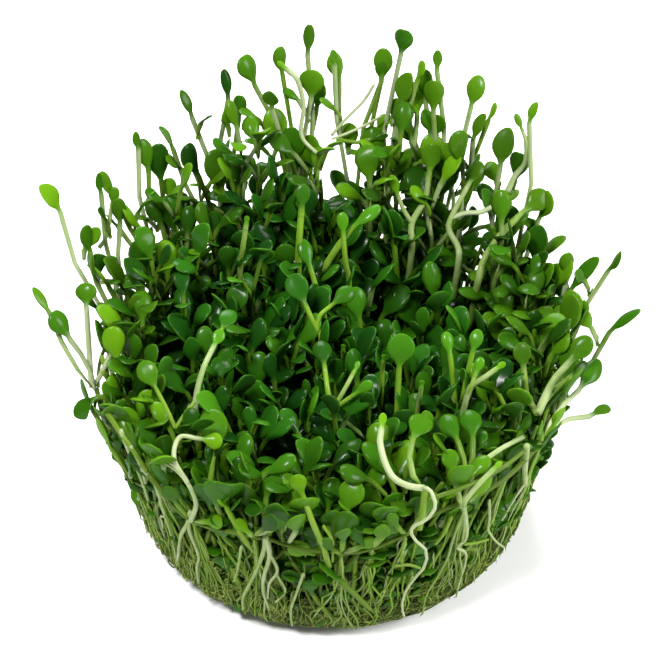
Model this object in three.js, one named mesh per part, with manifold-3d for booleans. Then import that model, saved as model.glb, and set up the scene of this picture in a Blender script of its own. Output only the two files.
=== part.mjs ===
// Mud mat plant: a plug of cup-grown carpet plant, lifted out of its cup and standing on its root mat.
// Millimetres, +Z up. The origin is the centre of the flat underside of the root mat, and the front faces -Y.
import * as THREE from 'three';
import { mergeVertices } from 'three/addons/utils/BufferGeometryUtils.js';
import Module from 'manifold-3d';

const wasm = await Module();
wasm.setup();

// Driving dimensions of the plug, which keeps the shape of the cup that it grew in
const BASE_RADIUS = 22.3; // flat underside
const EDGE_ROUND = 5.3; // round edge between the underside and the wall
const WALL_SLOPE = 0.17; // the wall leans out by this much for each mm of height
const MAT_HEIGHT = 8; // top of the matted roots
const TOUCH_GAP = 0.3; // between pieces that rest on each other

// The top of the leaves: tilted and bowed up to the back, with a dip where the shoots are shorter
const CANOPY_HEIGHT = 35;
const CANOPY_TILT = 0.15;
const CANOPY_BOW = 0.0045;
const DIP = { x: 9, y: 8, depth: 6, reach: 9 };

// Leaves, stems and roots
const PETIOLE_WIDTH = 0.8; // where it meets the blade
const PETIOLE_FOOT = 0.35; // where it leaves the stem
const LEAF_DEPTH = 0.6;
const STEM_WIDTH = 1.4;
const RUNNER_WIDTH = 1.2;
const SMALLEST_BLADE = { length: 5, width: 3.6 };
const LARGEST_BLADE = { length: 7.2, width: 4.8 };
const ROOT_FAN = { width: 5.4, depth: 0.7, foot: 2 }; // its foot is at this height on the mat
const RUNNER_LEAF_TOP = 38; // the leaves of a runner reach part of the way up to this height

// The shoots that rise from the mat: a spiral of inner tufts, and a ring of rim tufts just inside the wall
const INNER_TUFTS = 28;
const INNER_REACH = 19.5; // radius of the spiral on the mat
const RIM_TUFTS = 18;
const RIM_RADIUS = 26;
const GOLDEN_TURN = 137.508; // degrees from one shoot of a spiral to the next
const TURNED_ASIDE = { 1: -25, 25: 25, 28: -25 }; // degrees, for tufts that would touch a neighbour

// The side leaves of an inner tuft, from the highest down: where they leave the stem, as a share of its
// height, how far below the top of the tuft they end, and how many degrees they are turned from its top
// leaf. Only every other tuft has the second one.
const SIDE_LEAVES = [
  { rise: 0.62, below: 3, turned: 180 },
  { rise: 0.42, below: 6.5, turned: 90 },
];

// The leaves of a rim tuft besides its tall ones, two at the edge of the crown and two on the wall: where
// they leave the stem, as a share of its height, how many degrees they are turned from it round the plug,
// and how far their tips are inside the wall and below the top of the tuft
const RIM_LEAVES = [
  { rise: 0.55, turned: 6.5, inside: 0.5, below: -1, shaded: false },
  { rise: 0.4, turned: -6.5, inside: 2, below: 2.5, shaded: true },
  { rise: 0.15, turned: 0, inside: 0.8, below: 10, shaded: true },
  { rise: 0.06, turned: 9, inside: 0.8, below: 19, shaded: true },
];

// How far the tips of an inner tuft's leaves are from its stem, on the scale of the mat
const STEM_LEAN = [2.4, 3.4];
const SIDE_LEAN = [3.4, 4.6];

// The stem of a rim tuft leans out a little, and ends a little below the top of the tuft. The tall leaves
// leave it at shares of its height, from the first one down in even steps.
const RIM_LEAN = 1.4;
const RIM_BELOW = 1.5;
const TALL_RISE = { first: 0.62, step: 0.07 };

// How much varies from one tuft or leaf to the next
const UNEVEN_TOP = 3; // mm up or down
const UNEVEN_DROP = 2; // mm down, for the side leaves of an inner tuft
const UNEVEN_AIM = 25; // degrees to either side, for the side leaves of an inner tuft
const UNEVEN_RIM_AIM = 3; // degrees to either side, for the leaves of a rim tuft

// What varies from one piece to the next, each with a scatter of its own
const TRAIT = {
  height: 1, turn: 2, drop: 3, aim: 4, lean: 5, size: 6, stemSize: 7, rimAim: 8, rimSize: 9,
  wallAim: 11, wallHeight: 12, wallSize: 13,
};

const MATERIALS = {
  mat: new THREE.MeshStandardMaterial({ color: 0x5d6b2c, roughness: 0.7, metalness: 0 }),
  tuft: new THREE.MeshStandardMaterial({ color: 0x2c6e14, roughness: 0.3, metalness: 0 }),
  rim: new THREE.MeshStandardMaterial({ color: 0x4c8c1e, roughness: 0.3, metalness: 0 }),
  runner: new THREE.MeshStandardMaterial({ color: 0x86993f, roughness: 0.45, metalness: 0 }),
};

// The longest leaves, which give the plug its ragged outline.
// Each is [x, y and height of the middle of the blade, blade length, blade width].
const TALL_LEAVES = [
  [-36, 12, 45, 4.6, 3.2], [-31, 16.2, 43.5, 3.6, 1.4], [-29, 18.3, 42, 5, 2.6],
  [-26.3, 23.8, 44.6, 3, 1.4], [-23.5, 24, 40, 6.4, 3.4], [-21.6, 27, 42.8, 4.4, 2],
  [-19, 29.8, 45.8, 4, 1.6], [-14.5, 32.7, 46.6, 4.4, 1.6], [-10.4, 34, 48.5, 4.4, 3.4],
  [-3.4, 32.5, 47, 5, 3.6], [-3.6, 34.5, 53, 4.4, 1.7], [0.5, 35, 50, 2.6, 1.3],
  [6.6, 34.5, 48.8, 5, 2.8], [9, 34.5, 53, 4, 2.9], [8.7, 31.5, 46.8, 5.6, 3.2],
  [12, 31.5, 45, 5, 3.2], [14.4, 33, 51, 3.2, 1.4], [14, 30.5, 46.5, 5.4, 3],
  [18.7, 30.5, 47.3, 4.4, 2.8], [18.8, 27.5, 43.7, 4.2, 2], [23, 24.2, 42.3, 5.4, 3.2],
  [26.6, 25.5, 47.9, 3, 1.4], [24.9, 23.8, 39.8, 5, 3], [28, 20, 36.4, 5, 3.2],
  [28.6, 17.5, 31.5, 5, 2.8], [29.8, 11, 32, 5.4, 3], [32.5, 11, 32, 6.4, 2.6],
  [37.3, 9.5, 36, 4, 2.4], [31, 3, 33, 5, 3.4], [37.4, 1.5, 33, 5.6, 2.4],
  [29.2, -11, 35, 6.6, 3.8], [25.7, -17, 33.5, 5.4, 3.6], [15.5, -27, 34.5, 5.6, 3.8],
  [6, -30, 31.5, 5.6, 3.6], [-6, -30, 31.5, 6, 3.8], [-14.5, -27.5, 32, 5.8, 3.7],
  [-21.5, -22.5, 34, 5.6, 3.6], [-27.5, -14, 33, 6.2, 3.8], [-30.5, -6, 34, 5.6, 3.4],
  [-31, 7, 38, 5.6, 3.2],
];

// The runners creep along the wall. Each has three joints, given as [azimuth from +X in degrees, height].
// The long leaves stand out from its first joint, and are given as the tallest leaves are.
const RUNNERS = [
  {
    joints: [[-173, 25], [-160, 22], [-147, 20.5]],
    long: [[-38.5, 2, 35.5, 4.5, 1.5], [-35.5, -1, 34, 4.4, 3.2]],
  },
  { joints: [[-137, 28], [-125, 23.5], [-106, 25.5]], long: [] },
  { joints: [[-89, 23.5], [-81, 24.3], [-72, 26.5]], long: [] },
  {
    joints: [[-33, 30.5], [-47, 29.5], [-60, 29]],
    long: [[34, -8.5, 31.5, 5.6, 2.6], [35.5, -12, 28, 4.2, 1.6]],
  },
  { joints: [[-7, 23.5], [8, 21], [22, 19]], long: [] },
  { joints: [[39, 21], [54, 18], [69, 20]], long: [] },
  { joints: [[84, 22], [99, 20], [114, 18]], long: [] },
  { joints: [[129, 19], [145, 21], [161, 22]], long: [] },
];

const radians = THREE.MathUtils.degToRad;
const mix = THREE.MathUtils.lerp;

// An even scatter from 0 to 1 that is always the same for the same piece and trait
function scatter(piece, trait) {
  const wave = Math.sin(piece * 12.9898 + trait * 78.233) * 43758.5453;
  return wave - Math.floor(wave);
}

function wallRadius(height) {
  if (height >= EDGE_ROUND) return BASE_RADIUS + EDGE_ROUND + WALL_SLOPE * (height - EDGE_ROUND);
  return BASE_RADIUS + Math.sqrt(EDGE_ROUND ** 2 - (EDGE_ROUND - height) ** 2);
}

function polar(azimuth, radius, height) {
  const turn = radians(azimuth);
  return new THREE.Vector3(radius * Math.cos(turn), radius * Math.sin(turn), height);
}

// The azimuth of a place, in degrees
function azimuthOf({ x, y }) {
  return THREE.MathUtils.radToDeg(Math.atan2(y, x));
}

// Where growth that starts at a place on the mat is at a height, as the whole plug widens upwards
function fanned(x, y, height) {
  const spread = wallRadius(height) / wallRadius(MAT_HEIGHT);
  return new THREE.Vector3(x * spread, y * spread, height);
}

function canopyHeight(x, y) {
  const away = ((x - DIP.x) ** 2 + (y - DIP.y) ** 2) / (2 * DIP.reach ** 2);
  return CANOPY_HEIGHT + CANOPY_TILT * y + CANOPY_BOW * y ** 2 - DIP.depth * Math.exp(-away);
}

// A place just outside the wall
function onWall(azimuth, height, out) {
  return polar(azimuth, wallRadius(height) + out, height);
}

function solidOf(geometry) {
  geometry.deleteAttribute('normal');
  geometry.deleteAttribute('uv');
  const merged = mergeVertices(geometry, 1e-4);
  const made = new wasm.Manifold(new wasm.Mesh({
    numProp: 3,
    vertProperties: new Float32Array(merged.attributes.position.array),
    triVerts: new Uint32Array(merged.index.array),
  }));
  if (made.volume() < 0) throw new Error('a piece is inside out');
  return made;
}

function meshOf(solid, name, material) {
  const { vertProperties, triVerts } = solid.getMesh();
  const geometry = new THREE.BufferGeometry();
  geometry.setAttribute('position', new THREE.BufferAttribute(vertProperties, 3));
  geometry.setIndex(new THREE.BufferAttribute(triVerts, 1));
  const mesh = new THREE.Mesh(geometry, material);
  mesh.name = name;
  return mesh;
}

// Bends a unit cone or cylinder along a curve. Each ring gives its place on the curve (at), its half width
// and its depth. The flat upper side of the section looks towards face.
function bendAlong(geometry, curve, face, rings) {
  const position = geometry.attributes.position;
  const narrowing = geometry.type === 'ConeGeometry' ? 1 : 0;
  const point = new THREE.Vector3();
  for (let i = 0; i < position.count; i += 1) {
    const rise = position.getY(i) + 0.5;
    const ring = rings[Math.round(rise * (rings.length - 1))];
    const round = Math.max(1 - narrowing * rise, 1e-9);
    const across = position.getX(i) / round;
    const below = position.getZ(i) / round;
    const tangent = curve.getTangentAt(ring.at);
    const side = new THREE.Vector3().crossVectors(face, tangent).normalize();
    const up = new THREE.Vector3().crossVectors(tangent, side);
    point.copy(curve.getPointAt(ring.at));
    if (ring.width > 0) {
      point.addScaledVector(side, across * ring.width);
      point.addScaledVector(up, -below * ring.depth);
    }
    position.setXYZ(i, point.x, point.y, point.z);
  }
  return solidOf(geometry);
}

// The line of a leaf from its foot to its tip, with the place on it where the petiole becomes the blade
function leafLine({ foot, knee, tip, blade }) {
  const curve = new THREE.QuadraticBezierCurve3(foot, knee, tip);
  const neck = Math.max(1 - blade.length / curve.getLength(), 0.15);
  return { curve, neck };
}

// A place on the straight stem that a leaf ends, given as a share of its height
function onStem(leaf, share) {
  const { curve, neck } = leafLine(leaf);
  return leaf.foot.clone().lerp(curve.getPointAt(neck), share);
}

// A leaf: a slim petiole that widens into a spoon-shaped blade, with a flat face and a keel below.
// The leaf that ends a stem has the stem for its petiole. A shaded leaf deep in the plug is plainer.
function leafSolid({ foot, knee, tip, face, blade, stem = PETIOLE_FOOT, shaded = false }) {
  const { curve, neck } = leafLine({ foot, knee, tip, blade });
  const onBlade = (share, wide, deep) => ({
    at: mix(neck, 1, share),
    width: wide * blade.width / 2,
    depth: deep * LEAF_DEPTH / 2,
  });
  const rings = [{ at: 0, width: stem / 2, depth: stem / 2 }];
  rings.push({ at: neck, width: PETIOLE_WIDTH / 2, depth: LEAF_DEPTH / 2 });
  if (shaded) rings.push(onBlade(0.62, 1, 1));
  else rings.push(onBlade(0.34, 0.66, 1), onBlade(0.68, 1, 1), onBlade(0.93, 0.62, 0.8));
  rings.push({ at: 1, width: 0, depth: 0 });
  return bendAlong(new THREE.ConeGeometry(1, 1, 3, rings.length - 1), curve, face, rings);
}

// An even rod along a curve
function rodSolid(curve, face, width, steps) {
  const half = width / 2;
  const rings = Array.from({ length: steps + 1 }, (_, i) => ({ at: i / steps, width: half, depth: half }));
  return bendAlong(new THREE.CylinderGeometry(1, 1, 1, 3, steps), curve, face, rings);
}

function bladeSize(piece, trait) {
  const size = scatter(piece, trait);
  return {
    length: mix(SMALLEST_BLADE.length, LARGEST_BLADE.length, size),
    width: mix(SMALLEST_BLADE.width, LARGEST_BLADE.width, size),
  };
}

// A free leaf rises beside its stem, leans out towards its tip, and looks up and back at the stem
function freeLeaf(foot, tip, blade, steepness) {
  const lean = new THREE.Vector3(tip.x - foot.x, tip.y - foot.y, 0);
  const knee = foot.clone().addScaledVector(lean, 0.6);
  knee.z = mix(foot.z, tip.z, steepness);
  const face = lean.normalize().negate().add(new THREE.Vector3(0, 0, 1));
  return { foot, knee, tip, face, blade };
}

// A leaf whose blade has its middle at a given place, and points up and outwards there
function placedLeaf(foot, [x, y, height, length, width], steepness) {
  const reach = new THREE.Vector3(x - foot.x, y - foot.y, 0).normalize();
  reach.z = 1;
  const tip = new THREE.Vector3(x, y, height).addScaledVector(reach.normalize(), length / 2);
  return freeLeaf(foot, tip, { length, width }, steepness);
}

function joined(solids) {
  return wasm.Manifold.union(solids);
}

// The matted roots: a puck with a rounded lower edge, ribbed by the roots that run down its wall
function rootMat() {
  const ribs = 14;
  const ribDepth = 0.45;
  const shoulder = 1.4;
  const profile = [new THREE.Vector2(0, 0), new THREE.Vector2(BASE_RADIUS, 0)];
  for (const angle of [30, 60]) {
    const turn = radians(angle);
    profile.push(new THREE.Vector2(
      BASE_RADIUS + EDGE_ROUND * Math.sin(turn),
      EDGE_ROUND * (1 - Math.cos(turn)),
    ));
  }
  profile.push(new THREE.Vector2(wallRadius(EDGE_ROUND), EDGE_ROUND));
  profile.push(new THREE.Vector2(wallRadius(MAT_HEIGHT) - shoulder * 0.3, MAT_HEIGHT - shoulder * 0.5));
  profile.push(new THREE.Vector2(wallRadius(MAT_HEIGHT) - shoulder, MAT_HEIGHT));
  profile.push(new THREE.Vector2(0, MAT_HEIGHT));
  const geometry = new THREE.LatheGeometry(profile, ribs * 2);
  geometry.rotateX(Math.PI / 2);
  const position = geometry.attributes.position;
  for (let i = 0; i < position.count; i += 1) {
    const radius = Math.hypot(position.getX(i), position.getY(i));
    const height = position.getZ(i);
    const isWall = radius > BASE_RADIUS + 0.1 && height < MAT_HEIGHT - 0.01;
    if (!isWall) continue;
    const azimuth = Math.atan2(position.getY(i), position.getX(i));
    const wave = Math.cos(azimuth * ribs) + 0.5 * Math.sin(azimuth * 5 + height);
    const scale = 1 - ribDepth * (0.75 - 0.5 * wave) / radius;
    position.setX(i, position.getX(i) * scale);
    position.setY(i, position.getY(i) * scale);
  }
  return solidOf(geometry);
}

// The leaf that ends a stem. Its stem rises from the mat and fans out with the plug.
function stemLeaf(x, y, out, height, blade) {
  const foot = fanned(x, y, MAT_HEIGHT + TOUCH_GAP);
  const knee = fanned(x, y, mix(MAT_HEIGHT, height, 0.72));
  const tip = fanned(x + out.x, y + out.y, height);
  const face = new THREE.Vector3(-out.x, -out.y, out.length());
  return { foot, knee, tip, face, blade, stem: STEM_WIDTH };
}

// An inner tuft: a stem that ends in a leaf, one more leaf near its top, and often a shaded one lower down
function innerTuft(index) {
  const radius = INNER_REACH * Math.sqrt((index + 0.5) / INNER_TUFTS);
  const start = polar(index * GOLDEN_TURN, radius, MAT_HEIGHT);
  const top = canopyHeight(start.x, start.y) + mix(-UNEVEN_TOP, UNEVEN_TOP, scatter(index, TRAIT.height));
  const turn = 360 * scatter(index, TRAIT.turn) + (TURNED_ASIDE[index + 1] ?? 0);
  const out = polar(turn, mix(...STEM_LEAN, scatter(index, TRAIT.lean)), 0);
  const stem = stemLeaf(start.x, start.y, out, top, bladeSize(index, TRAIT.size));
  const count = index % 2 === 0 ? SIDE_LEAVES.length : 1;
  const leaves = SIDE_LEAVES.slice(0, count).map(({ rise, below, turned }, j) => {
    const piece = INNER_TUFTS * (j + 1) + index;
    const height = top - below - UNEVEN_DROP * scatter(piece, TRAIT.drop);
    const aim = turn + turned + mix(-UNEVEN_AIM, UNEVEN_AIM, scatter(piece, TRAIT.aim));
    const lean = polar(aim, mix(...SIDE_LEAN, scatter(piece, TRAIT.lean)), 0);
    const tip = fanned(start.x + lean.x, start.y + lean.y, height);
    const leaf = freeLeaf(onStem(stem, rise), tip, bladeSize(piece, TRAIT.size), 0.7);
    return { ...leaf, shaded: j > 0 };
  });
  return [stem, ...leaves];
}

// A rim tuft holds the tall leaves nearest to it, two at the edge of the crown, and two on the wall
function rimTuft(index) {
  const azimuth = index * 360 / RIM_TUFTS;
  const start = polar(azimuth, RIM_RADIUS, MAT_HEIGHT);
  const top = canopyHeight(start.x, start.y);
  const out = polar(azimuth, RIM_LEAN, 0);
  const stem = stemLeaf(start.x, start.y, out, top - RIM_BELOW, bladeSize(index, TRAIT.stemSize));
  const own = TALL_LEAVES.filter(([x, y]) => {
    const turn = azimuthOf({ x, y }) + 360;
    return Math.round(turn * RIM_TUFTS / 360) % RIM_TUFTS === index;
  });
  const tall = own.map((row, j) => {
    const rise = TALL_RISE.first - TALL_RISE.step * j;
    return placedLeaf(onStem(stem, rise), row, 0.6);
  });
  const others = RIM_LEAVES.map(({ rise, turned, inside, below, shaded }, j) => {
    const piece = RIM_TUFTS * j + index;
    const aim = azimuth + turned + mix(-UNEVEN_RIM_AIM, UNEVEN_RIM_AIM, scatter(piece, TRAIT.rimAim));
    const tip = onWall(aim, top - below, -inside);
    return { ...freeLeaf(onStem(stem, rise), tip, bladeSize(piece, TRAIT.rimSize), 0.55), shaded };
  });
  return [stem, ...tall, ...others];
}

// A fan of rootlets that spreads over the mat, and runs up the wall to its point in a joint of a runner
function rootFan(joint) {
  const azimuth = azimuthOf(joint);
  const places = [0, 0.3, 0.6].map((share) => onWall(azimuth, mix(ROOT_FAN.foot, joint.z, share), 1));
  const curve = new THREE.CatmullRomCurve3([...places, joint]);
  const rings = [0, 0.4, 1].map((at) => ({
    at,
    width: mix(ROOT_FAN.width, 0, at) / 2,
    depth: ROOT_FAN.depth / 2,
  }));
  return bendAlong(new THREE.ConeGeometry(1, 1, 3, rings.length - 1), curve, polar(azimuth, 1, 0), rings);
}

// A runner along the wall, with a leaf and a fan of rootlets at each joint
function runner(index) {
  const { joints, long } = RUNNERS[index];
  const curve = new THREE.CatmullRomCurve3(joints.map(([azimuth, height]) => onWall(azimuth, height, 1)));
  const places = [0.04, 0.5, 0.96].map((at) => curve.getPointAt(at));
  const rod = rodSolid(curve, places[1].clone().setZ(0), RUNNER_WIDTH, 4);
  const leaves = places.map((place, j) => {
    const piece = 3 * index + j;
    const azimuth = azimuthOf(place);
    const aim = azimuth + mix(-6, 6, scatter(piece, TRAIT.wallAim));
    const climb = mix(0.5, 0.75, scatter(piece, TRAIT.wallHeight));
    const tip = onWall(aim, mix(place.z, RUNNER_LEAF_TOP, climb), 2.6);
    const leaf = freeLeaf(place, tip, bladeSize(piece, TRAIT.wallSize), 0.55);
    return leafSolid({ ...leaf, face: polar(azimuth, 1, 0.5), shaded: true });
  });
  const standing = long.map((row) => leafSolid(placedLeaf(places[0], row, 0.6)));
  return joined([rod, ...places.map(rootFan), ...leaves, ...standing]);
}

// The name of the piece with a given place in its row, counted from 01
function numbered(word, index) {
  return `${word}_${String(index + 1).padStart(2, '0')}`;
}

const plant = new THREE.Group();
plant.add(meshOf(rootMat(), 'root_mat', MATERIALS.mat));
for (let i = 0; i < INNER_TUFTS; i += 1) {
  plant.add(meshOf(joined(innerTuft(i).map(leafSolid)), numbered('tuft', i), MATERIALS.tuft));
}
for (let i = 0; i < RIM_TUFTS; i += 1) {
  plant.add(meshOf(joined(rimTuft(i).map(leafSolid)), numbered('rim_tuft', i), MATERIALS.rim));
}
for (let i = 0; i < RUNNERS.length; i += 1) {
  plant.add(meshOf(runner(i), numbered('runner', i), MATERIALS.runner));
}

export default plant;
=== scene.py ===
"""Mud mat plant: a cup-grown plug of carpet plant, with every leaf, stem, runner and root of its own."""

import bpy
import numpy as np
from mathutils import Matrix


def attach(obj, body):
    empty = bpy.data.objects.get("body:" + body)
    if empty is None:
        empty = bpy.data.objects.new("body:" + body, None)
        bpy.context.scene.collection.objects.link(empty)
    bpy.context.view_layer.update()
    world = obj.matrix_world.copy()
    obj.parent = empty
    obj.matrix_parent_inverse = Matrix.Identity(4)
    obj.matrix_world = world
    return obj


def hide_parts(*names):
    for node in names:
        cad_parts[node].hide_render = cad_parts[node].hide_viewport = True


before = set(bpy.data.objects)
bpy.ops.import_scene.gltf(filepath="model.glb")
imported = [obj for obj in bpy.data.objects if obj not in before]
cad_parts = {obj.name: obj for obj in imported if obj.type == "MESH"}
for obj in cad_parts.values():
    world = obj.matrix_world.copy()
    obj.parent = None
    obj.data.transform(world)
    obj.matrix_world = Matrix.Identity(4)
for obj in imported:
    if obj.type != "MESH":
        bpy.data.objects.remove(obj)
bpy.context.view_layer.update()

MM = 0.001
UP = np.array([0.0, 0.0, 1.0])
TO_VIEWER = np.array([0.0, -0.7, 0.7])

# The stage, in metres: half a side of the floor, the strength of the world's light, the lights' places, sizes
# and watts, where they and the camera look, and the camera's tilt, distance and lens, which is in millimetres
FLOOR = 0.6
WORLD_LIGHT = 0.23
LIGHTS = [
    ("key light", (-0.12, -0.16, 0.42), 0.09, 2.55), ("side light", (0.36, -0.1, 0.28), 0.2, 2.6),
    ("back light", (-0.05, 0.36, 0.34), 0.25, 3.4),
]
LIT_PLACE = (0, 0, 0.025)
SEEN_PLACE = np.array([0, 0, 0.0316])
LOOKS_DOWN = np.radians(45)
CAMERA_DISTANCE = 0.35
LENS = 142

# The plug, in millimetres, as its solids have it
BASE_RADIUS = 22.3
EDGE_ROUND = 5.3
WALL_SLOPE = 0.17
MAT_HEIGHT = 8.0
MAT_SIDES = 260
STEM_FOOT = MAT_HEIGHT - 0.6
CANOPY_HEIGHT = 35.0
CANOPY_TILT = 0.15
CANOPY_BOW = 0.0045
DIP_X, DIP_Y, DIP_DEPTH, DIP_REACH = 9.0, 8.0, 6.0, 9.0

# Leaves, stems and roots, in millimetres; plumpness, narrowing and the widest place of a blade are shares
PETIOLE_WIDTH = 0.75
PETIOLE_FOOT = 0.5
STEM_WIDTH = 1.4
SHOOT_WIDTH = 0.9
RUNNER_WIDTH = 0.7
PLUMP = 0.2
NARROWER = 0.86
SMALLEST_BLADE = (5.0, 3.6)
LARGEST_BLADE = (7.2, 4.8)
RUNNER_LEAF_TOP = 38.0
WIDEST = 0.61

# The shoots, in millimetres, degrees and shares
INNER_TUFTS = 28
INNER_REACH = 19.5
RIM_TUFTS = 18
RIM_RADIUS = 26.0
GOLDEN_TURN = 137.508
TURNED_ASIDE = {1: -25, 25: 25, 28: -25}

# An inner tuft's side leaves: share of the way up the stem, how far below its top they end, and turn from it
SIDE_LEAVES = [(0.62, 3.0, 180.0), (0.42, 6.5, 90.0)]

# A rim tuft's low leaves: share of the way up the stem, turn, and how far inside the wall and below the top
RIM_LEAVES = [(0.55, 6.5, 0.5, -1.0), (0.4, -6.5, 2.0, 2.5), (0.15, 0.0, 0.8, 10.0), (0.06, 9.0, 0.8, 19.0)]

# How far stems and leaves lean out
STEM_LEAN, SIDE_LEAN, RIM_LEAN = (2.4, 3.4), (3.4, 4.6), 1.4

# How far a rim stem ends below the canopy, how far below it a low leaf is pressed to the wall, and the
# radius from which a place belongs to the rim
RIM_BELOW = 1.5
CLEAR_OF_WALL = 5.0
RIM_FROM = 22.5

# Where up a rim stem its first tall leaf leaves it, and how much lower each next one does, as shares
TALL_RISE, TALL_STEP = 0.62, 0.07

# Pairs of leaves on a small shoot, how much higher the rim's growth is at the back, and how much painted
# backlight lightens its greens and whitens its stalks there
PAIRS = 4
BACK_RISE = 1.5
PAINTED_BACKLIGHT_GREEN = 0.12
PAINTED_BACKLIGHT_WHITE = 0.3

# Pale stalks that start lower than this go on down by so much, and small leaves keep this far from bare ones
LOW_START, GOES_DOWN = 31.7, 9.0
COVER = 1.7

# Rootlets at a joint of a runner, and how far to each side they spread
ROOTLETS, ROOTLET_SPREAD = 14, 8

# The most that the scatter adds to tops, ends and aims
UNEVEN_TOP, UNEVEN_DROP, UNEVEN_AIM, UNEVEN_RIM_AIM = 3.0, 2.0, 25.0, 3.0

# What varies from one piece to the next, each with a scatter of its own
HEIGHT, TURN, DROP, AIM, LEAN, SIZE, STEM_SIZE, RIM_AIM, RIM_SIZE = 1, 2, 3, 4, 5, 6, 7, 8, 9
WALL_AIM, WALL_HEIGHT, WALL_SIZE = 11, 12, 13

# The longest leaves: x, y and height of the blade's middle, blade length and width, and the stalk's bow
TALL_LEAVES = [
    (-36, 12, 45, 4.6, 3.2, 2.6), (-31, 16.2, 43.5, 3.6, 1.4, 1.2), (-29, 18.3, 42, 5, 2.6, 0.6),
    (-26.3, 23.8, 44.6, 3, 1.4, 1.8), (-23.5, 24, 40, 6.4, 3.4, 0.2), (-21.6, 27, 42.8, 4.4, 2, 0.8),
    (-19, 29.8, 45.8, 4, 1.6, -1.4), (-14.5, 32.7, 46.6, 4.4, 1.6, 2), (-10.4, 34, 48.5, 4.4, 3.4, -2.4),
    (-3.4, 32.5, 47, 5, 3.6, 0.8), (-3.6, 34.5, 53, 4.4, 1.7, -1.2), (0.5, 35, 50, 2.6, 1.3, 1),
    (6.6, 34.5, 48.8, 5, 2.8, 2.6), (9, 34.5, 53, 4, 2.9, 1), (8.7, 31.5, 46.8, 5.6, 3.2, -1),
    (12, 31.5, 45, 5, 3.2, 1.2), (14.4, 33, 51, 3.2, 1.4, -1.5), (14, 30.5, 46.5, 5.4, 3, -0.8),
    (18.7, 30.5, 47.3, 4.4, 2.8, 0.6), (18.8, 27.5, 43.7, 4.2, 2, -1.6), (23, 24.2, 42.3, 5.4, 3.2, 0.4),
    (26.6, 25.5, 47.9, 3, 1.4, -2.6), (24.9, 23.8, 39.8, 5, 3, 0.8), (28, 20, 36.4, 5, 3.2, -1),
    (28.6, 17.5, 31.5, 5, 2.8, 0.6), (29.8, 11, 32, 5.4, 3, -0.6), (32.5, 11, 32, 6.4, 2.6, 0.8),
    (37.3, 9.5, 36, 4, 2.4, -1.2), (31, 3, 33, 5, 3.4, 0.6), (37.4, 1.5, 33, 5.6, 2.4, -1.6),
    (29.2, -11, 35, 6.6, 3.8, 0.6), (24.6, -13.5, 35, 5.4, 3.6, -0.6), (15.5, -27, 34.5, 5.6, 3.8, 0.6),
    (6, -30, 31.5, 5.6, 3.6, 0.8), (-6, -30, 31.5, 6, 3.8, -0.8), (-14.5, -27.5, 32, 5.8, 3.7, 0.6),
    (-21.5, -22.5, 34, 5.6, 3.6, -0.6), (-27.5, -14, 33, 6.2, 3.8, 0.6), (-28.2, -5, 33.6, 5.2, 3.2, 0.8),
    (-31, 7, 38, 5.6, 3.2, 1.4),
]

# The runners: azimuth and height of three joints, and the long leaves that stand out from the first
RUNNERS = [
    ([(-173, 25), (-160, 22), (-147, 20.5)],
     [(-38.5, 2, 35.5, 4.5, 1.5, 0.8), (-35.5, -1, 34, 4.4, 3.2, -0.6)]),
    ([(-137, 28), (-125, 23.5), (-106, 25.5)], []),
    ([(-89, 23.5), (-81, 24.3), (-72, 26.5)], []),
    ([(-33, 30.5), (-47, 29.5), (-60, 29)],
     [(34, -8.5, 31.5, 5.6, 2.6, 0.6), (35.5, -12, 28, 4.2, 1.6, 1.4)]),
    ([(-7, 23.5), (8, 21), (22, 19)], []),
    ([(39, 21), (54, 18), (69, 20)], []),
    ([(84, 22), (99, 20), (114, 18)], []),
    ([(129, 19), (145, 21), (161, 22)], []),
]

# The thin links that lead on from each runner to the next, as the azimuths and heights of their ends
LINKS = [(RUNNERS[i][0][2], RUNNERS[(i + 1) % len(RUNNERS)][0][0]) for i in range(len(RUNNERS))]
LINKS[2] = (RUNNERS[2][0][2], RUNNERS[3][0][2])
LINKS[3] = (RUNNERS[3][0][0], RUNNERS[4][0][0])

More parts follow.
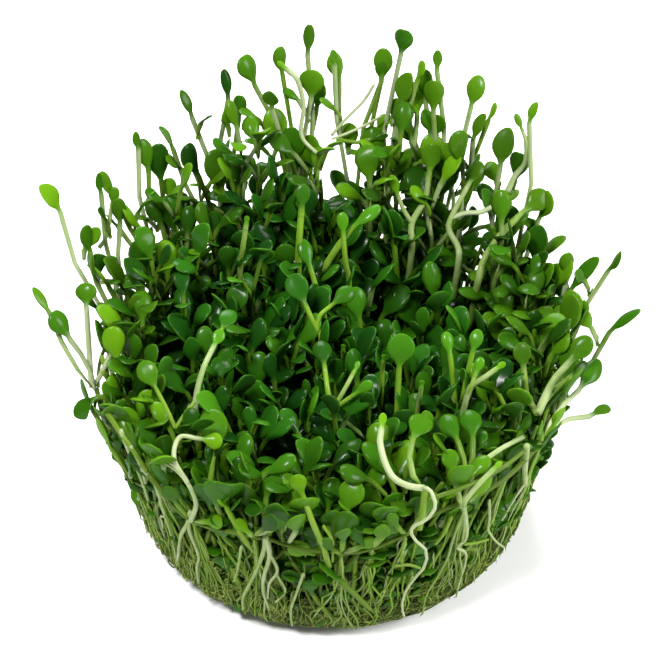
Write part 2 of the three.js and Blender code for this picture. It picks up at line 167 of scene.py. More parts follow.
# Leaves that stand out at the front: foot, knee, tip, blade length and width, stalk width, fresh and pale
FRONT_LEAVES = [
    ((11.6, -29.6, 33.2), (7.4, -28, 36.5), (12, -20.5, 37.8), 4.8, 3.9, 1.1, 0.45, 0.6),
    ((16.8, -28, 30.5), (17.6, -25, 34), (14, -19, 36.2), 4.6, 3.6, 1.1, 0.3, 0.3),
    ((16.8, -28, 30.5), (18.5, -24, 35.5), (17.2, -18.5, 36.4), 4.6, 3.6, 1.1, 0.2, 0.3),
    ((16.4, -29.5, 29.5), (15.2, -28, 33.5), (14.6, -24.5, 35.4), 3.6, 2.9, 1, 0.5, 0.7),
    ((16.4, -29.5, 29.5), (17, -27, 33.5), (19.6, -25, 34.8), 4, 3, 1, 0.6, 0.7),
    ((1.6, -32, 24.5), (0.6, -31.5, 29), (3, -28, 33.4), 5, 4.3, 0.9, 0.55, 0.2),
    ((1, -31.8, 23.5), (-1.8, -30, 27.5), (0.4, -26.5, 32), 4.6, 3.2, 0.9, 0.3, 0.2),
    ((-8.5, -31, 26), (-9, -28.5, 30), (-7.2, -26.5, 34.2), 4.8, 3.5, 0.8, 0.35, 0.1),
    ((-8.3, -31, 26), (-6, -30, 29), (-4.6, -28.6, 33.2), 4.4, 3.7, 0.8, 0.5, 0.1),
    ((-9.7, -30, 20.8), (-12.2, -30.2, 26.5), (-14.3, -28, 31.4), 3, 2.5, 0.9, 0.9, 0.3),
    ((-16.2, -25.5, 27), (-14.6, -22.5, 31), (-15.5, -16.5, 34.4), 6.6, 4.7, 1.1, 0.45, 0.1),
    ((5.8, -28.5, 7.3), (3.6, -30.6, 13), (-1.4, -31.6, 21.6), 5.6, 3.2, 0.9, 0.2, 0),
    ((-22.8, -22.3, 26), (-24.6, -19, 28), (-27.3, -13.5, 31.4), 6, 4.2, 1, 0.6, 0.2),
    ((-22.8, -22.3, 26), (-23.6, -20.5, 28), (-24.2, -16, 31.8), 5.2, 3.6, 1, 0.3, 0.2),
    ((-28.4, -8.5, 27.5), (-31.6, -9.2, 30.5), (-33.6, -10.5, 26), 4.6, 3.2, 0.9, 0.3, 0.3),
    ((8.5, -14, 24), (8.3, -11.5, 34), (9, -8.2, 39.6), 5.2, 4.6, 1.1, 0.6, 0.4),
    ((16.5, -12, 26), (15.6, -9.5, 35), (14.8, -6.2, 38), 3.6, 2.2, 0.9, 0.8, 0.4),
    ((16.5, -12, 26), (17.6, -9.5, 35), (19, -6.2, 38.4), 3.6, 2.3, 0.9, 0.7, 0.4),
    ((-0.3, 5.5, 26), (-2.6, 8.5, 33), (-4, 12, 37.4), 4.6, 2.6, 0.9, 0.5, 0.2),
    ((-1.9, 11.5, 30), (0.6, 13, 37), (6.2, 15.6, 40.6), 5.4, 2.7, 1.4, 0.7, 0.5),
]

# The long white root that hangs from the base of the bent white stalk
WHITE_ROOT = [
    (11.4, -30, 34.2), (12.1, -30.8, 34.7), (12.6, -31.4, 33.9), (12.8, -31.8, 32.5), (11.7, -32, 30.4),
    (10.2, -32, 29.3), (9.9, -31.9, 27.8), (10.8, -31.6, 25.5), (11.8, -31.2, 23.9), (12, -30.2, 19.7),
    (10.6, -29.2, 15.5), (9.6, -28.5, 12.2), (9.2, -27.2, 7.5), (9.6, -26.2, 4),
]

# Stalks that stand out, most of them pale: the places of a smooth line, the widths of its ends, the length
# and width of the blade that ends it, and how fresh and pale it is
STRANDS = [
    ([(11.5, -29.8, 33.9), (9.3, -29.5, 34.1), (7.6, -28.5, 34.5), (6.6, -26.8, 35.3), (6, -24.4, 36.2),
      (6.1, -22.8, 36.6)],
     0.9, 0.85, 2.6, 1.1, 1, 0.95),
    ([(11.6, -29.9, 34.2), (11.3, -30.5, 30), (11, -30.3, 26.8)], 0.9, 0.85, 0, 0, 0.7, 0.45),
    ([(-0.5, -30.9, 20.1), (-1.1, -31.9, 25), (-2.3, -32.6, 30), (-3.6, -31.5, 34)],
     0.85, 0.75, 3, 2.3, 0.75, 0.5),
    (WHITE_ROOT, 0.55, 0.3, 0, 0, 0.6, 1),
    ([(16.3, -28.6, 29), (17, -28.7, 31), (18.5, -28, 32.9), (19.9, -27, 33.9)],
     0.75, 0.65, 1.6, 0.8, 1, 0.75),
    ([(-23.1, -21.4, 30), (-20.3, -24.3, 31.8), (-18.4, -26.2, 31), (-17.3, -27.6, 28.5),
      (-18.2, -26.4, 23.8)],
     0.5, 0.7, 0, 0, 0.6, 0.85),
    ([(-18.2, -26.4, 30.8), (-20, -24.4, 33.4), (-19.4, -21.6, 34.4), (-17, -21.8, 34.4)],
     0.65, 0.6, 2.8, 2.3, 1, 0.9),
    ([(18.4, -25, 33), (21.4, -22.8, 33.6), (24.4, -20.4, 33.2)], 0.7, 0.6, 0, 0, 0.6, 0.8),
    ([(26.5, -15, 31.7), (28.5, -11.5, 33.8), (30.3, -10, 35.5)], 1.1, 0.9, 4.6, 2.8, 0.5, 0.75),
    ([(26.5, -15, 31.7), (28, -12.5, 32.4), (30.7, -10, 33)], 0.9, 0.8, 3.4, 1.9, 0.4, 0.5),
    ([(26.5, -15, 31.7), (25.3, -12, 32.1), (24.9, -10, 34.3)], 0.9, 0.8, 3.6, 2.4, 0.5, 0.6),
    ([(-32.4, -3.4, 24.5), (-32.6, -0.6, 29.8), (-32.8, 2, 34)], 0.8, 0.7, 3.2, 3, 0.5, 1),
    ([(-32.2, -3.4, 24.5), (-30.8, -2.4, 26.8), (-29.3, 0.6, 29)], 0.7, 0.7, 4.4, 1.9, 0.9, 0.95),
    ([(-31.9, 14, 33.9), (-30.9, 15, 35.2), (-30, 16.5, 39.2)], 0.6, 0.6, 2.6, 1.6, 0.5, 0.7),
    ([(-1.9, 28, 38.5), (-4, 30, 39.5), (-4.4, 31, 41), (-4, 32, 44), (-4.8, 33, 47.7), (-6, 33.5, 49)],
     0.5, 0.8, 1.8, 0.9, 0.9, 0.9),
    ([(-0.2, 32, 38.6), (2, 33, 41), (4.4, 34, 43.4), (5.8, 34.5, 45.9)], 0.45, 0.45, 0, 0, 0.8, 1),
    ([(-0.1, 32, 38), (2.2, 32.5, 38.7), (4.6, 33, 39.7), (6.9, 33, 41.4)], 0.4, 0.4, 0, 0, 0.8, 1),
    ([(0.5, 32, 38), (3.2, 32, 37.4), (5, 32, 37.8)], 0.5, 0.6, 2.6, 0.9, 0.4, 0.3),
    ([(24.2, 23, 36.1), (25.1, 24, 38), (26.5, 24.5, 40.3), (26.5, 25, 43.5), (26.1, 25.5, 44.7)],
     0.9, 0.5, 2.6, 1, 0.7, 0.8),
    ([(11, 18, 30), (11, 20, 33), (12.8, 22, 35.7), (13.3, 23.5, 38.6)], 1, 0.8, 4.4, 3, 0.6, 0.7),
    ([(11, 20, 33), (9.8, 20.6, 35), (9.2, 21, 36.6)], 0.7, 0.6, 3.4, 1.6, 0.7, 0.7),
    ([(17.4, 15, 30.5), (17.2, 16.5, 32), (16.1, 18, 33.4), (16.3, 19, 34.9), (18.6, 22, 38.1)],
     1, 0.7, 3.6, 2.2, 0.6, 0.75),
    ([(16.3, 19, 34.9), (18.4, 20, 34.9), (20.6, 21, 34.2), (22.8, 22, 34.8)], 0.7, 0.7, 3.4, 1.3, 0.7, 1),
    ([(20, 12, 29.8), (20.9, 14, 32), (23.5, 16.5, 34.8), (26, 18.5, 36.1)], 1, 1, 4.5, 3.2, 0.6, 0.65),
    ([(-17.8, -13.2, 29.8), (-17.6, -12.2, 32.8), (-16.7, -10.5, 35.6), (-15.6, -8.5, 37)],
     0.9, 0.7, 2.6, 1.7, 0.9, 0.8),
    ([(-16.5, -10.1, 36), (-15.4, -8, 37.2), (-14.6, -6, 37.6)], 0.6, 0.6, 3.8, 2.4, 0.4, 0.5),
    ([(-20.1, -18.5, 32.7), (-18.8, -17, 34), (-17.7, -15.8, 34.8)], 0.6, 0.5, 0, 0, 0.6, 0.3),
    ([(-20.1, -18.5, 32.7), (-21.2, -16.8, 34.4), (-22.4, -15, 35.8)], 0.6, 0.55, 4.2, 2.8, 0.5, 0.4),
    ([(-0.1, -13.2, 28.6), (-0.1, -14.6, 31.8), (-0.6, -13.6, 34.5), (-1, -11, 36)],
     0.8, 0.65, 3.8, 2.6, 0.4, 0.3),
    ([(-0.1, -14.6, 31.8), (1.4, -13.6, 34.4), (2.7, -12, 36.2)], 0.6, 0.55, 1.4, 0.8, 0.9, 0.6),
    ([(-0.1, -14.6, 31.8), (1.4, -14.8, 33.7), (2.5, -14.8, 34.8)], 0.6, 0.55, 3.2, 1.5, 0.8, 0.5),
    ([(-0.5, -2.5, 28.9), (-1.5, -1.9, 32.4), (-2.7, -1.1, 35.1), (-3.4, 0, 36.2)],
     0.85, 0.7, 4.6, 3.2, 0.35, 0.35),
    ([(-2.2, -1.4, 34), (-1.6, -0.6, 35.5), (-0.4, 0.2, 36.2)], 0.6, 0.55, 3.8, 2.4, 0.5, 0.4),
    ([(17.1, -13.7, 31.6), (17.5, -13.5, 33.8), (18, -13.2, 35.2), (19.5, -13, 36.4), (20.7, -12.4, 37)],
     0.8, 0.7, 1.6, 0.9, 1, 0.75),
    ([(17.3, -13.6, 33.2), (17.9, -13.4, 35.3), (18.3, -12.8, 36.3)], 0.6, 0.6, 2.4, 1.4, 0.9, 0.6),
    ([(6.5, -8.8, 30), (6.5, -8.8, 33.2), (6.6, -9.2, 35.4)], 0.6, 0.6, 1.2, 0.8, 0.9, 0.45),
    ([(11.1, -13.1, 30.4), (11.3, -13.7, 33.6), (11.4, -14, 35.6)], 0.65, 0.6, 1.2, 0.8, 1, 0.6),
    ([(1.4, -5, 29.9), (1.4, -5.8, 33.2), (1.4, -6.6, 35)], 0.6, 0.55, 1.2, 0.7, 0.9, 0.45),
    ([(2.3, 11.8, 29.2), (1.8, 11.4, 33.5), (1.6, 11.7, 36), (1.5, 12.3, 37.4)],
     0.8, 0.7, 3.2, 1.7, 0.8, 0.5),
    ([(-4.7, 12.2, 31.4), (-4.5, 12.4, 36.9), (-4.2, 14.1, 40.4)], 1, 0.9, 3.6, 2, 0.5, 0.4),
    ([(-12.6, 11.3, 31.4), (-12.1, 10.6, 36.9), (-11.6, 11.1, 40.6)], 0.8, 0.7, 1.4, 0.8, 1, 0.6),
]

# Thick roots and stalks on the wall: the azimuths and heights of their places, the widths of their ends, and
# how fresh and pale they are
WALL_ROOTS = [
    ([(-59, 28.1), (-56.5, 22), (-56, 19), (-58, 18), (-54, 14.2), (-54, 5.7)], 0.8, 0.3, 0.6, 0.8),
    ([(-125, 25), (-127, 21.5), (-131, 16.7), (-136, 8.4)], 0.8, 0.4, 0.6, 0.8),
    ([(-125, 25), (-127, 20), (-126, 14.4), (-128, 10.5), (-129, 6.2)], 0.6, 0.3, 0.6, 0.8),
    ([(-42, 33.5), (-41, 31), (-39, 26.5), (-36, 21.9)], 0.9, 0.7, 0.5, 0.75),
    ([(-36, 22.3), (-40, 20.6), (-43, 17.4)], 0.4, 0.3, 0.6, 0.9),
    ([(-51, 26), (-49, 21), (-48, 17.7), (-43, 12.6), (-36, 7.3)], 0.45, 0.3, 0.6, 0.8),
    ([(176, 24), (172, 20), (173, 16)], 0.7, 0.3, 0.6, 0.8),
    ([(-69, 33), (-62, 33), (-55, 32.6), (-48, 32.5), (-40, 32.5)], 0.6, 0.6, 0.15, 0.3),
    ([(-152, 33), (-146, 32), (-141, 30.5), (-137.5, 28)], 0.75, 0.6, 0.3, 0.35),
    ([(-142, 31.3), (-140, 28.5), (-140, 24.3)], 0.5, 0.45, 0.6, 0.8),
    ([(-145, 33), (-144, 28.1), (-142, 24.3), (-142, 19.3)], 0.6, 0.4, 0.6, 0.8),
    ([(-92, 29.9), (-90, 26.3), (-90, 21.4)], 0.45, 0.4, 0.6, 0.5),
    ([(-65, 21.5), (-63, 23.6), (-62, 26.6)], 0.6, 0.6, 0.6, 0.3),
    ([(-56, 17.9), (-52, 16.5), (-47, 14.9)], 0.45, 0.4, 0.6, 0.4),
    ([(-75, 18.8), (-71, 18), (-68, 16.4)], 0.5, 0.4, 0.5, 0.5),
    ([(-105.5, 26), (-106, 23), (-108, 18.5), (-111, 13.3), (-114, 8.7), (-115, 5)], 0.8, 0.3, 0.6, 0.7),
    ([(-105.5, 26), (-105, 21.3), (-107, 16), (-108, 11.7), (-107, 7)], 0.8, 0.3, 0.6, 0.8),
    ([(-105, 22), (-103.5, 17.8), (-106, 14), (-107, 10)], 0.5, 0.3, 0.6, 0.8),
    ([(-104, 17), (-102, 13), (-105, 9.4)], 0.4, 0.3, 0.6, 0.7),
    ([(-97, 18), (-99, 13), (-101, 8), (-101, 4)], 0.45, 0.3, 0.6, 0.7),
    ([(-112, 21.7), (-114, 16), (-116, 11.8)], 0.45, 0.3, 0.6, 0.7),
]

# Leaves that lie on the wall at the front: azimuth and height of foot and tip, length, width, and how fresh
WALL_LEAVES = [
    (-87, 17.5, -79, 28.4, 8, 3.7, 0.15), (-53, 23, -55, 29.8, 4.6, 3.1, 0.1),
    (-57, 12.2, -59, 18.4, 4.2, 2.8, 0), (-44, 11.8, -40, 17, 3.8, 2.6, 0),
    (-44, 21.6, -47, 30.4, 6.4, 2.6, 0.1), (-116, 18.5, -119, 25.5, 4.8, 3.6, 0.4),
    (-117, 11, -120, 16, 3.4, 2.6, 0.1), (-99, 12, -101, 17.5, 3.8, 2.8, 0),
    (-95, 10.5, -96, 15.5, 3.4, 2.4, 0), (-94, 21, -100, 24.5, 4.6, 2.8, 0.8),
    (-132, 23, -135, 30.5, 5.2, 3.2, 0.2), (-119.5, 25.5, -120, 32.8, 5.6, 3.4, 0.2),
]

# How finely a leaf is laid out: places on the petiole, places on the blade, and points round its section
NEAR = ((0.0, 0.35, 0.7, 1.0), (0.12, 0.24, 0.36, 0.48, 0.61, 0.74, 0.86, 0.94, 0.985, 1.0), 10)
FAR = ((0.0, 0.5, 1.0), (0.2, 0.4, 0.6, 0.78, 0.91, 0.98, 1.0), 8)
TINY = ((0.0, 1.0), (0.3, 0.6, 0.85, 0.97, 1.0), 6)


# Growth rules, shared with the solids


def scatter(piece, trait):
    """The fraction that is left of a large multiple of the sine of the piece and trait numbers."""
    wave = np.sin(piece * 12.9898 + trait * 78.233) * 43758.5453
    return wave - np.floor(wave)


def mix(low, high, share):
    """The value a share of the way from low to high."""
    return low + (high - low) * share


def smooth(value):
    """Three squares less two cubes of a value kept between 0 and 1, so that it leaves and arrives level."""
    value = np.clip(value, 0, 1)
    return value * value * (3 - 2 * value)


def wall_radius(height):
    """The plug's radius: a quarter circle at the foot, then a straight wall that leans out."""
    height = np.asarray(height, float)
    foot = np.sqrt(np.maximum(EDGE_ROUND**2 - (EDGE_ROUND - np.minimum(height, EDGE_ROUND)) ** 2, 0))
    return BASE_RADIUS + foot + WALL_SLOPE * np.maximum(height - EDGE_ROUND, 0)


def polar(azimuth, radius, height):
    """Points from their azimuths in degrees, their radii and their heights."""
    turn = np.radians(azimuth)
    places = np.broadcast_arrays(radius * np.cos(turn), radius * np.sin(turn), height)
    return np.stack(places, axis=-1).astype(float)


def on_wall(azimuth, height, out):
    """Points at a distance outside the wall."""
    return polar(azimuth, wall_radius(height) + out, height)


def fanned(x, y, height):
    """Where growth from a place on the mat is at a height: its plan grows with the radius of the wall."""
    spread = float(wall_radius(height) / wall_radius(MAT_HEIGHT))
    return np.array([x * spread, y * spread, height])


def dip(x, y):
    """A bell-shaped share: 1 in the middle of the dip, and none far from it."""
    return np.exp(-((x - DIP_X) ** 2 + (y - DIP_Y) ** 2) / (2 * DIP_REACH**2))


def canopy_height(x, y):
    """A level that is tilted and bowed up to the back, less the dip."""
    return CANOPY_HEIGHT + CANOPY_TILT * y + CANOPY_BOW * y**2 - DIP_DEPTH * dip(x, y)


def azimuth_of(point):
    """The azimuth of a point, in degrees."""
    return float(np.degrees(np.arctan2(point[1], point[0])))


def rim_at(azimuth):
    """The number of the rim tuft nearest to an azimuth."""
    return round((azimuth + 360) * RIM_TUFTS / 360) % RIM_TUFTS


def inner_start(number):
    """Where inner tufts start: each turned by the golden angle from the last, which fills a disc evenly."""
    return polar(number * GOLDEN_TURN, INNER_REACH * np.sqrt((number + 0.5) / INNER_TUFTS), MAT_HEIGHT)


def owner(place):
    """The number of the tuft that a place belongs to: the nearest inner one, or near the wall a rim one."""
    if np.hypot(place[0], place[1]) > RIM_FROM:
        return INNER_TUFTS + rim_at(azimuth_of(place))
    apart = inner_start(np.arange(INNER_TUFTS))[:, :2] - place[:2]
    return int(np.argmin(np.hypot(apart[:, 0], apart[:, 1])))


def uneven(most, piece, trait):
    """A scattered amount of up to so much either way."""
    return mix(-most, most, scatter(piece, trait))


def blade_size(piece, trait):
    """Length and width of a blade, between the smallest and the largest, a little narrower than its solid."""
    share = scatter(piece, trait)
    length, width = (mix(small, large, share) for small, large in zip(SMALLEST_BLADE, LARGEST_BLADE))
    return length, width * NARROWER


def unit(vectors):
    """Vectors scaled to length one along their last axis."""
    return vectors / np.maximum(np.linalg.norm(vectors, axis=-1, keepdims=True), 1e-9)


# Leaves are kept as rows of numbers until their tuft is done


def leaf(foot, knee, tip, face, size, **looks):
    """One leaf: the three points of its curve, the way its face looks, its blade's size, and its looks."""
    row = {
        "foot": np.asarray(foot, float), "knee": np.asarray(knee, float), "tip": np.asarray(tip, float),
        "face": unit(np.asarray(face, float)), "length": size[0], "width": size[1],
        "stalk": PETIOLE_FOOT, "neck": PETIOLE_WIDTH, "bow": 0.0, "cup": 0.2, "curl": 0.0, "twist": 0.0,
        "tone": 0.5, "fresh": 0.3, "pale": 0.3,
    }
    row.update(looks)
    return row


def free_leaf(foot, tip, size, steepness, **looks):
    """A leaf that rises beside its stem, leans out towards its tip, and looks up and back at the stem."""
    lean = np.array([tip[0] - foot[0], tip[1] - foot[1], 0.0])
    knee = foot + 0.6 * lean
    knee[2] = mix(foot[2], tip[2], steepness)
    return leaf(foot, knee, tip, UP - unit(lean), size, **looks)


def held_in(point, out):
    """A point, drawn in level if it lies further than a distance outside the wall."""
    point[:2] *= min(1, (float(wall_radius(point[2])) + out) / np.hypot(point[0], point[1]))
    return point


def arched_leaf(foot, aim, reach, slope, size, **looks):
    """A leaf of a shoot: it leaves its stem steeply, arches over to a tip at a slope in degrees, and turns
    its face away from the ground."""
    heading = polar(aim, 1, 0)
    start, rise, end = np.radians([min(slope + 22, 86), slope, slope - 15])
    tip = held_in(foot + reach * (heading * np.cos(rise) + UP * np.sin(rise)), 0.8)
    knee = foot + 0.55 * reach * (heading * np.cos(start) + UP * np.sin(start))
    return leaf(foot, knee, tip, UP * np.cos(end) - heading * np.sin(end), size, **looks)


def placed_leaf(foot, row, steepness, **looks):
    """A leaf whose blade has its middle at a given place, and points up and outwards there."""
    x, y, height, length, width, bow = row
    reach = unit(np.array([x - foot[0], y - foot[1], 0.0]))
    reach[2] = 1.0
    tip = np.array([x, y, height]) + unit(reach) * length / 2
    return free_leaf(foot, tip, (length, width), steepness, bow=bow, **looks)


def stem_leaf(x, y, out, height, size, **looks):
    """The leaf that ends a stem, which rises from the mat and fans out with the plug."""
    foot = fanned(x, y, STEM_FOOT)
    knee = fanned(x, y, mix(MAT_HEIGHT, height, 0.72))
    tip = fanned(x + out[0], y + out[1], height)
    face = np.array([-out[0], -out[1], np.hypot(out[0], out[1])])
    return leaf(foot, knee, tip, face, size, stalk=STEM_WIDTH, **looks)


def curve_points(foot, knee, tip, shares):
    """Points at shares of the length of quadratic curves, and the lengths: each curve is measured in short
    steps, and the place of a share is found between two of them."""
    steps = np.linspace(0, 1, 33)[None, :, None]
    foot, knee, tip = foot[:, None], knee[:, None], tip[:, None]
    fine = (1 - steps) ** 2 * foot + 2 * steps * (1 - steps) * knee + steps**2 * tip
    run = np.cumsum(np.linalg.norm(np.diff(fine, axis=1, prepend=fine[:, :1]), axis=-1), axis=1)
    target = shares * run[:, -1:]
    index = np.clip((run[:, None, :] <= target[:, :, None]).sum(-1) - 1, 0, fine.shape[1] - 2)
    row = np.arange(len(foot))[:, None]
    before, after = run[row, index], run[row, index + 1]
    share = ((target - before) / np.maximum(after - before, 1e-9))[..., None]
    return fine[row, index] * (1 - share) + fine[row, index + 1] * share, run[:, -1]


def on_stem(row, share):
    """A place on a stem, given as a share of the way from its foot to its blade."""
    ends = (row["foot"][None], row["knee"][None], row["tip"][None])
    whole = curve_points(*ends, np.zeros((1, 1)))[1][0]
    neck = max(1 - row["length"] / whole, 0.15)
    return curve_points(*ends, np.array([[share * neck]]))[0][0, 0]


def smooth_line(places, count):
    """A smooth line through places: each stretch is the cubic whose ends run parallel to the line between
    their neighbours."""
    places = np.asarray(places, float)
    padded = np.concatenate([places[:1] * 2 - places[1:2], places, places[-1:] * 2 - places[-2:-1]])
    at = np.linspace(0, len(places) - 1, count)
    index = np.minimum(at.astype(int), len(places) - 2)
    share = (at - index)[:, None]
    a, b, c, d = (padded[index + k] for k in range(4))
    square, cube = 2 * a - 5 * b + 4 * c - d, 3 * b - a - 3 * c + d
    return 0.5 * (2 * b + (c - a) * share + square * share**2 + cube * share**3)


def wall_places(places):
    """Places of a thick root, a little outside the wall, from their azimuths and heights."""
    return [on_wall(azimuth, height, 0.8) for azimuth, height in places]


# What no small leaf may cover: points along the thick roots, the pale stalks and the stalk of one front leaf
BARE = [wall_places(row[0]) for row in WALL_ROOTS if row[1] > 0.6]
BARE += [row[0] for row in STRANDS if row[-1] > 0.7] + [FRONT_LEAVES[0][:3]]
UNCOVERED = np.concatenate([smooth_line(line, 24)[4:] for line in BARE])


# Swept shapes


def tube_faces(rings, sides):
    """Faces of a closed tube whose points are a pole, the rings and another pole: quads between the rings,
    and triangles at the poles."""
    start = 1 + np.arange(rings)[:, None] * sides
    here, ahead = start + np.arange(sides), start + (np.arange(sides) + 1) % sides
    quads = np.stack([here[:-1], ahead[:-1], ahead[1:], here[1:]], axis=-1).reshape(-1, 4)
    first, last = np.zeros(sides, int), np.full(sides, rings * sides + 1)
    poles = [np.stack([first, ahead[0], here[0]], axis=-1), np.stack([last, here[-1], ahead[-1]], axis=-1)]
    return quads, np.concatenate(poles)


def sweep(points, face, across, above, traits):
    """Carries closed sections along curves. points holds curve, ring and xyz; across and above hold, for each
    curve, ring and section point, how far it lies to the side and towards the face. The first and last rings
    close to poles at their middles. traits are values for each curve, ring and section point, which become
    attributes."""
    curves, rings, sides = across.shape
    tangent = unit(np.gradient(points, axis=1))
    side = unit(np.cross(np.broadcast_to(face[:, None], tangent.shape), tangent))
    up = np.cross(tangent, side)
    body = points[:, :, None] + side[:, :, None] * across[..., None] + up[:, :, None] * above[..., None]
    inner = body[:, 1:-1].reshape(curves, -1, 3)
    vertices = np.concatenate([body[:, :1].mean(2), inner, body[:, -1:].mean(2)], axis=1)
    starts = (np.arange(curves) * vertices.shape[1])[:, None, None]
    quads, triangles = tube_faces(rings - 2, sides)
    laid = {}
    for name, values in traits.items():
        values = np.broadcast_to(values, (curves, rings, sides))
        parts = [values[:, :1, 0], values[:, 1:-1].reshape(curves, -1), values[:, -1:, 0]]
        laid[name] = np.concatenate(parts, axis=1).ravel()
    return {
        "vertices": vertices.reshape(-1, 3), "quads": (quads + starts).reshape(-1, 4),
        "triangles": (triangles + starts).reshape(-1, 3), "traits": laid,
    }


def leaf_shapes(rows, detail):
    """Spoon-shaped leaves. Along the blade the half width is a power of a quarter sine up to the widest
    place, and from there a quarter of an ellipse, so it widens slowly and ends round. Across, the section is
    a plump oval whose margins rise with the square of the distance from the middle. The petiole is a round
    rod that tapers to its foot and bows to the side by a half sine."""
    stalk_places, blade_places, sides = detail
    values = {name: np.array([row[name] for row in rows], float) for name in rows[0]}
    foot, knee, tip, face = (values[name] for name in ("foot", "knee", "tip", "face"))
    length, width, stalk, neck_width, bow, cup, curl, twist = (
        values[name][:, None] for name in ("length", "width", "stalk", "neck", "bow", "cup", "curl", "twist")
    )
    none = np.zeros((len(rows), 1))
    neck = np.maximum(1 - length / curve_points(foot, knee, tip, none)[1][:, None], 0.12)
    rise, along = np.array(stalk_places) + none, np.array(blade_places) + none
    shares = np.concatenate([rise * neck, neck + (1 - neck) * along], axis=1)
    points, _ = curve_points(foot, knee, tip, shares)
    aside = unit(np.cross(face, tip - foot))[:, None]
    points = points + aside * (bow * np.sin(np.pi * np.clip(shares / neck, 0, 1)))[..., None]
    blade = np.concatenate([0 * rise, along], axis=1)
    petiole = np.concatenate([rise, 0 * along + 1], axis=1)
    widening = np.sin(np.pi / 2 * np.clip(blade / WIDEST, 0, 1)) ** 1.7
    rounding = np.sqrt(1 - np.clip((blade - WIDEST) / (1 - WIDEST), 0, 1) ** 2)
    spoon = np.where(blade < WIDEST, widening, rounding)
    rod = mix(stalk, neck_width, petiole) / 2
    half = np.maximum(width / 2 * spoon, rod * np.sqrt(1 - blade))
    thick = np.maximum(rod * (1 - np.minimum(blade * 1.8, 1)), PLUMP * half)
    half[:, -1] = thick[:, -1] = 0
    phase = np.linspace(0, 2 * np.pi, sides, endpoint=False)
    across = np.cos(phase) * half[..., None]
    lift = (cup * half * np.minimum(blade * 3, 1))[..., None] * np.cos(phase) ** 2
    above = np.sin(phase) * thick[..., None] + lift + (curl * length * blade**2)[..., None]
    turn = (twist * blade)[..., None]
    across, above = across * np.cos(turn) - above * np.sin(turn), across * np.sin(turn) + above * np.cos(turn)
    on_blade = (blade > 0)[..., None]
    traits = {
        "blade": np.clip(blade * 2.4 + (petiole - 1) * 0.6, -1, 1)[..., None],
        # The edge and tip of the blade, which are lightened, partly as their own colour and partly as a
        # painted highlight
        "edge_and_highlight": np.maximum(np.abs(np.cos(phase)), smooth(blade * 6 - 5)[..., None]) * on_blade,
        "under": np.clip(-1.5 * np.sin(phase), 0, 1) * on_blade,
    }
    traits |= {name: values[name][:, None, None] for name in ("tone", "fresh", "pale")}
    return sweep(points, face, across, above, traits)


def blunt(points):
    """Lines with a further place close to each end, so that a rod keeps its width up to its end."""
    points = np.asarray(points, float)
    first, last = mix(points[:, :1], points[:, 1:2], 0.12), mix(points[:, -1:], points[:, -2:-1], 0.12)
    return np.concatenate([points[:, :1], first, points[:, 1:-1], last, points[:, -1:]], axis=1)


def rods(points, start_width, end_width, sides, **traits):
    """Round tapering rods along given points: the section is a circle whose radius goes evenly from start to
    end, and it is laid out from the direction that lies most square to the whole line."""
    points = np.asarray(points, float)
    share = np.linspace(0, 1, points.shape[1])[None, :, None]
    start, end = np.reshape(start_width, (-1, 1, 1)), np.reshape(end_width, (-1, 1, 1))
    radius = np.broadcast_to(mix(start, end, share) / 2, (*points.shape[:2], 1))
    phase = np.linspace(0, 2 * np.pi, sides, endpoint=False)
    face = np.linalg.svd(unit(np.diff(points, axis=1)))[2][:, -1]
    traits = {"blade": -1, "edge_and_highlight": 0, "under": 0, "tone": 0.5, "fresh": 0.5, "pale": 0.5} | traits
    laid = {name: np.reshape(value, (-1, 1, 1)) for name, value in traits.items()}
    return sweep(points, face, radius * np.cos(phase), radius * np.sin(phase), laid)


def unshaded_share(points):
    """How far out a place is, for the painted shade: 0 from 13 mm below the canopy and 5 mm inside the wall,
    1 near either.
    """
    x, y, z = points.T
    below = canopy_height(x, y) - z
    inside = wall_radius(z) - np.hypot(x, y)
    return np.maximum(smooth(1 - below / 13), smooth(1 - inside / 5) * 0.9)


def stand(name, data):
    """Adds an object with this data to the scene."""
    made = bpy.data.objects.new(name, data)
    bpy.context.scene.collection.objects.link(made)
    return made


def piece(name, shapes, material, slot, nodes):
    """Joins swept shapes in one mesh with smooth faces, and stands it in the frame for the given nodes."""
    starts = np.cumsum([0] + [len(shape["vertices"]) for shape in shapes[:-1]])
    vertices = np.concatenate([shape["vertices"] for shape in shapes])
    faces = [
        np.concatenate([shape[kind] + start for shape, start in zip(shapes, starts)])
        for kind in ("quads", "triangles")
    ]
    corners = np.concatenate([part.ravel() for part in faces])
    sizes = np.concatenate([np.full(len(part), part.shape[1]) for part in faces])
    mesh = bpy.data.meshes.new(name)
    mesh.vertices.add(len(vertices))
    mesh.vertices.foreach_set("co", (vertices * MM).astype(np.float32).ravel())
    mesh.loops.add(len(corners))
    mesh.loops.foreach_set("vertex_index", corners.astype(np.int32))
    mesh.polygons.add(len(sizes))
    mesh.polygons.foreach_set("loop_start", (np.cumsum(sizes) - sizes).astype(np.int32))
    mesh.polygons.foreach_set("use_smooth", np.ones(len(sizes), bool))
    mesh.update(calc_edges=True)
    laid = [shape["traits"] for shape in shapes]
    traits = {trait: np.concatenate([row[trait] for row in laid]) for trait in laid[0]}
    # Painted shade: how far out each point lies, which darkens what lies deep inside the plug
    traits["unshaded"] = unshaded_share(vertices)
    for trait, values in traits.items():
        mesh.attributes.new(trait, "FLOAT", "POINT").data.foreach_set("value", values.astype(np.float32))
    mesh.materials.append(material)
    made = stand(name, mesh)
    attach(made, "root")
    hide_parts(*nodes)


# Materials


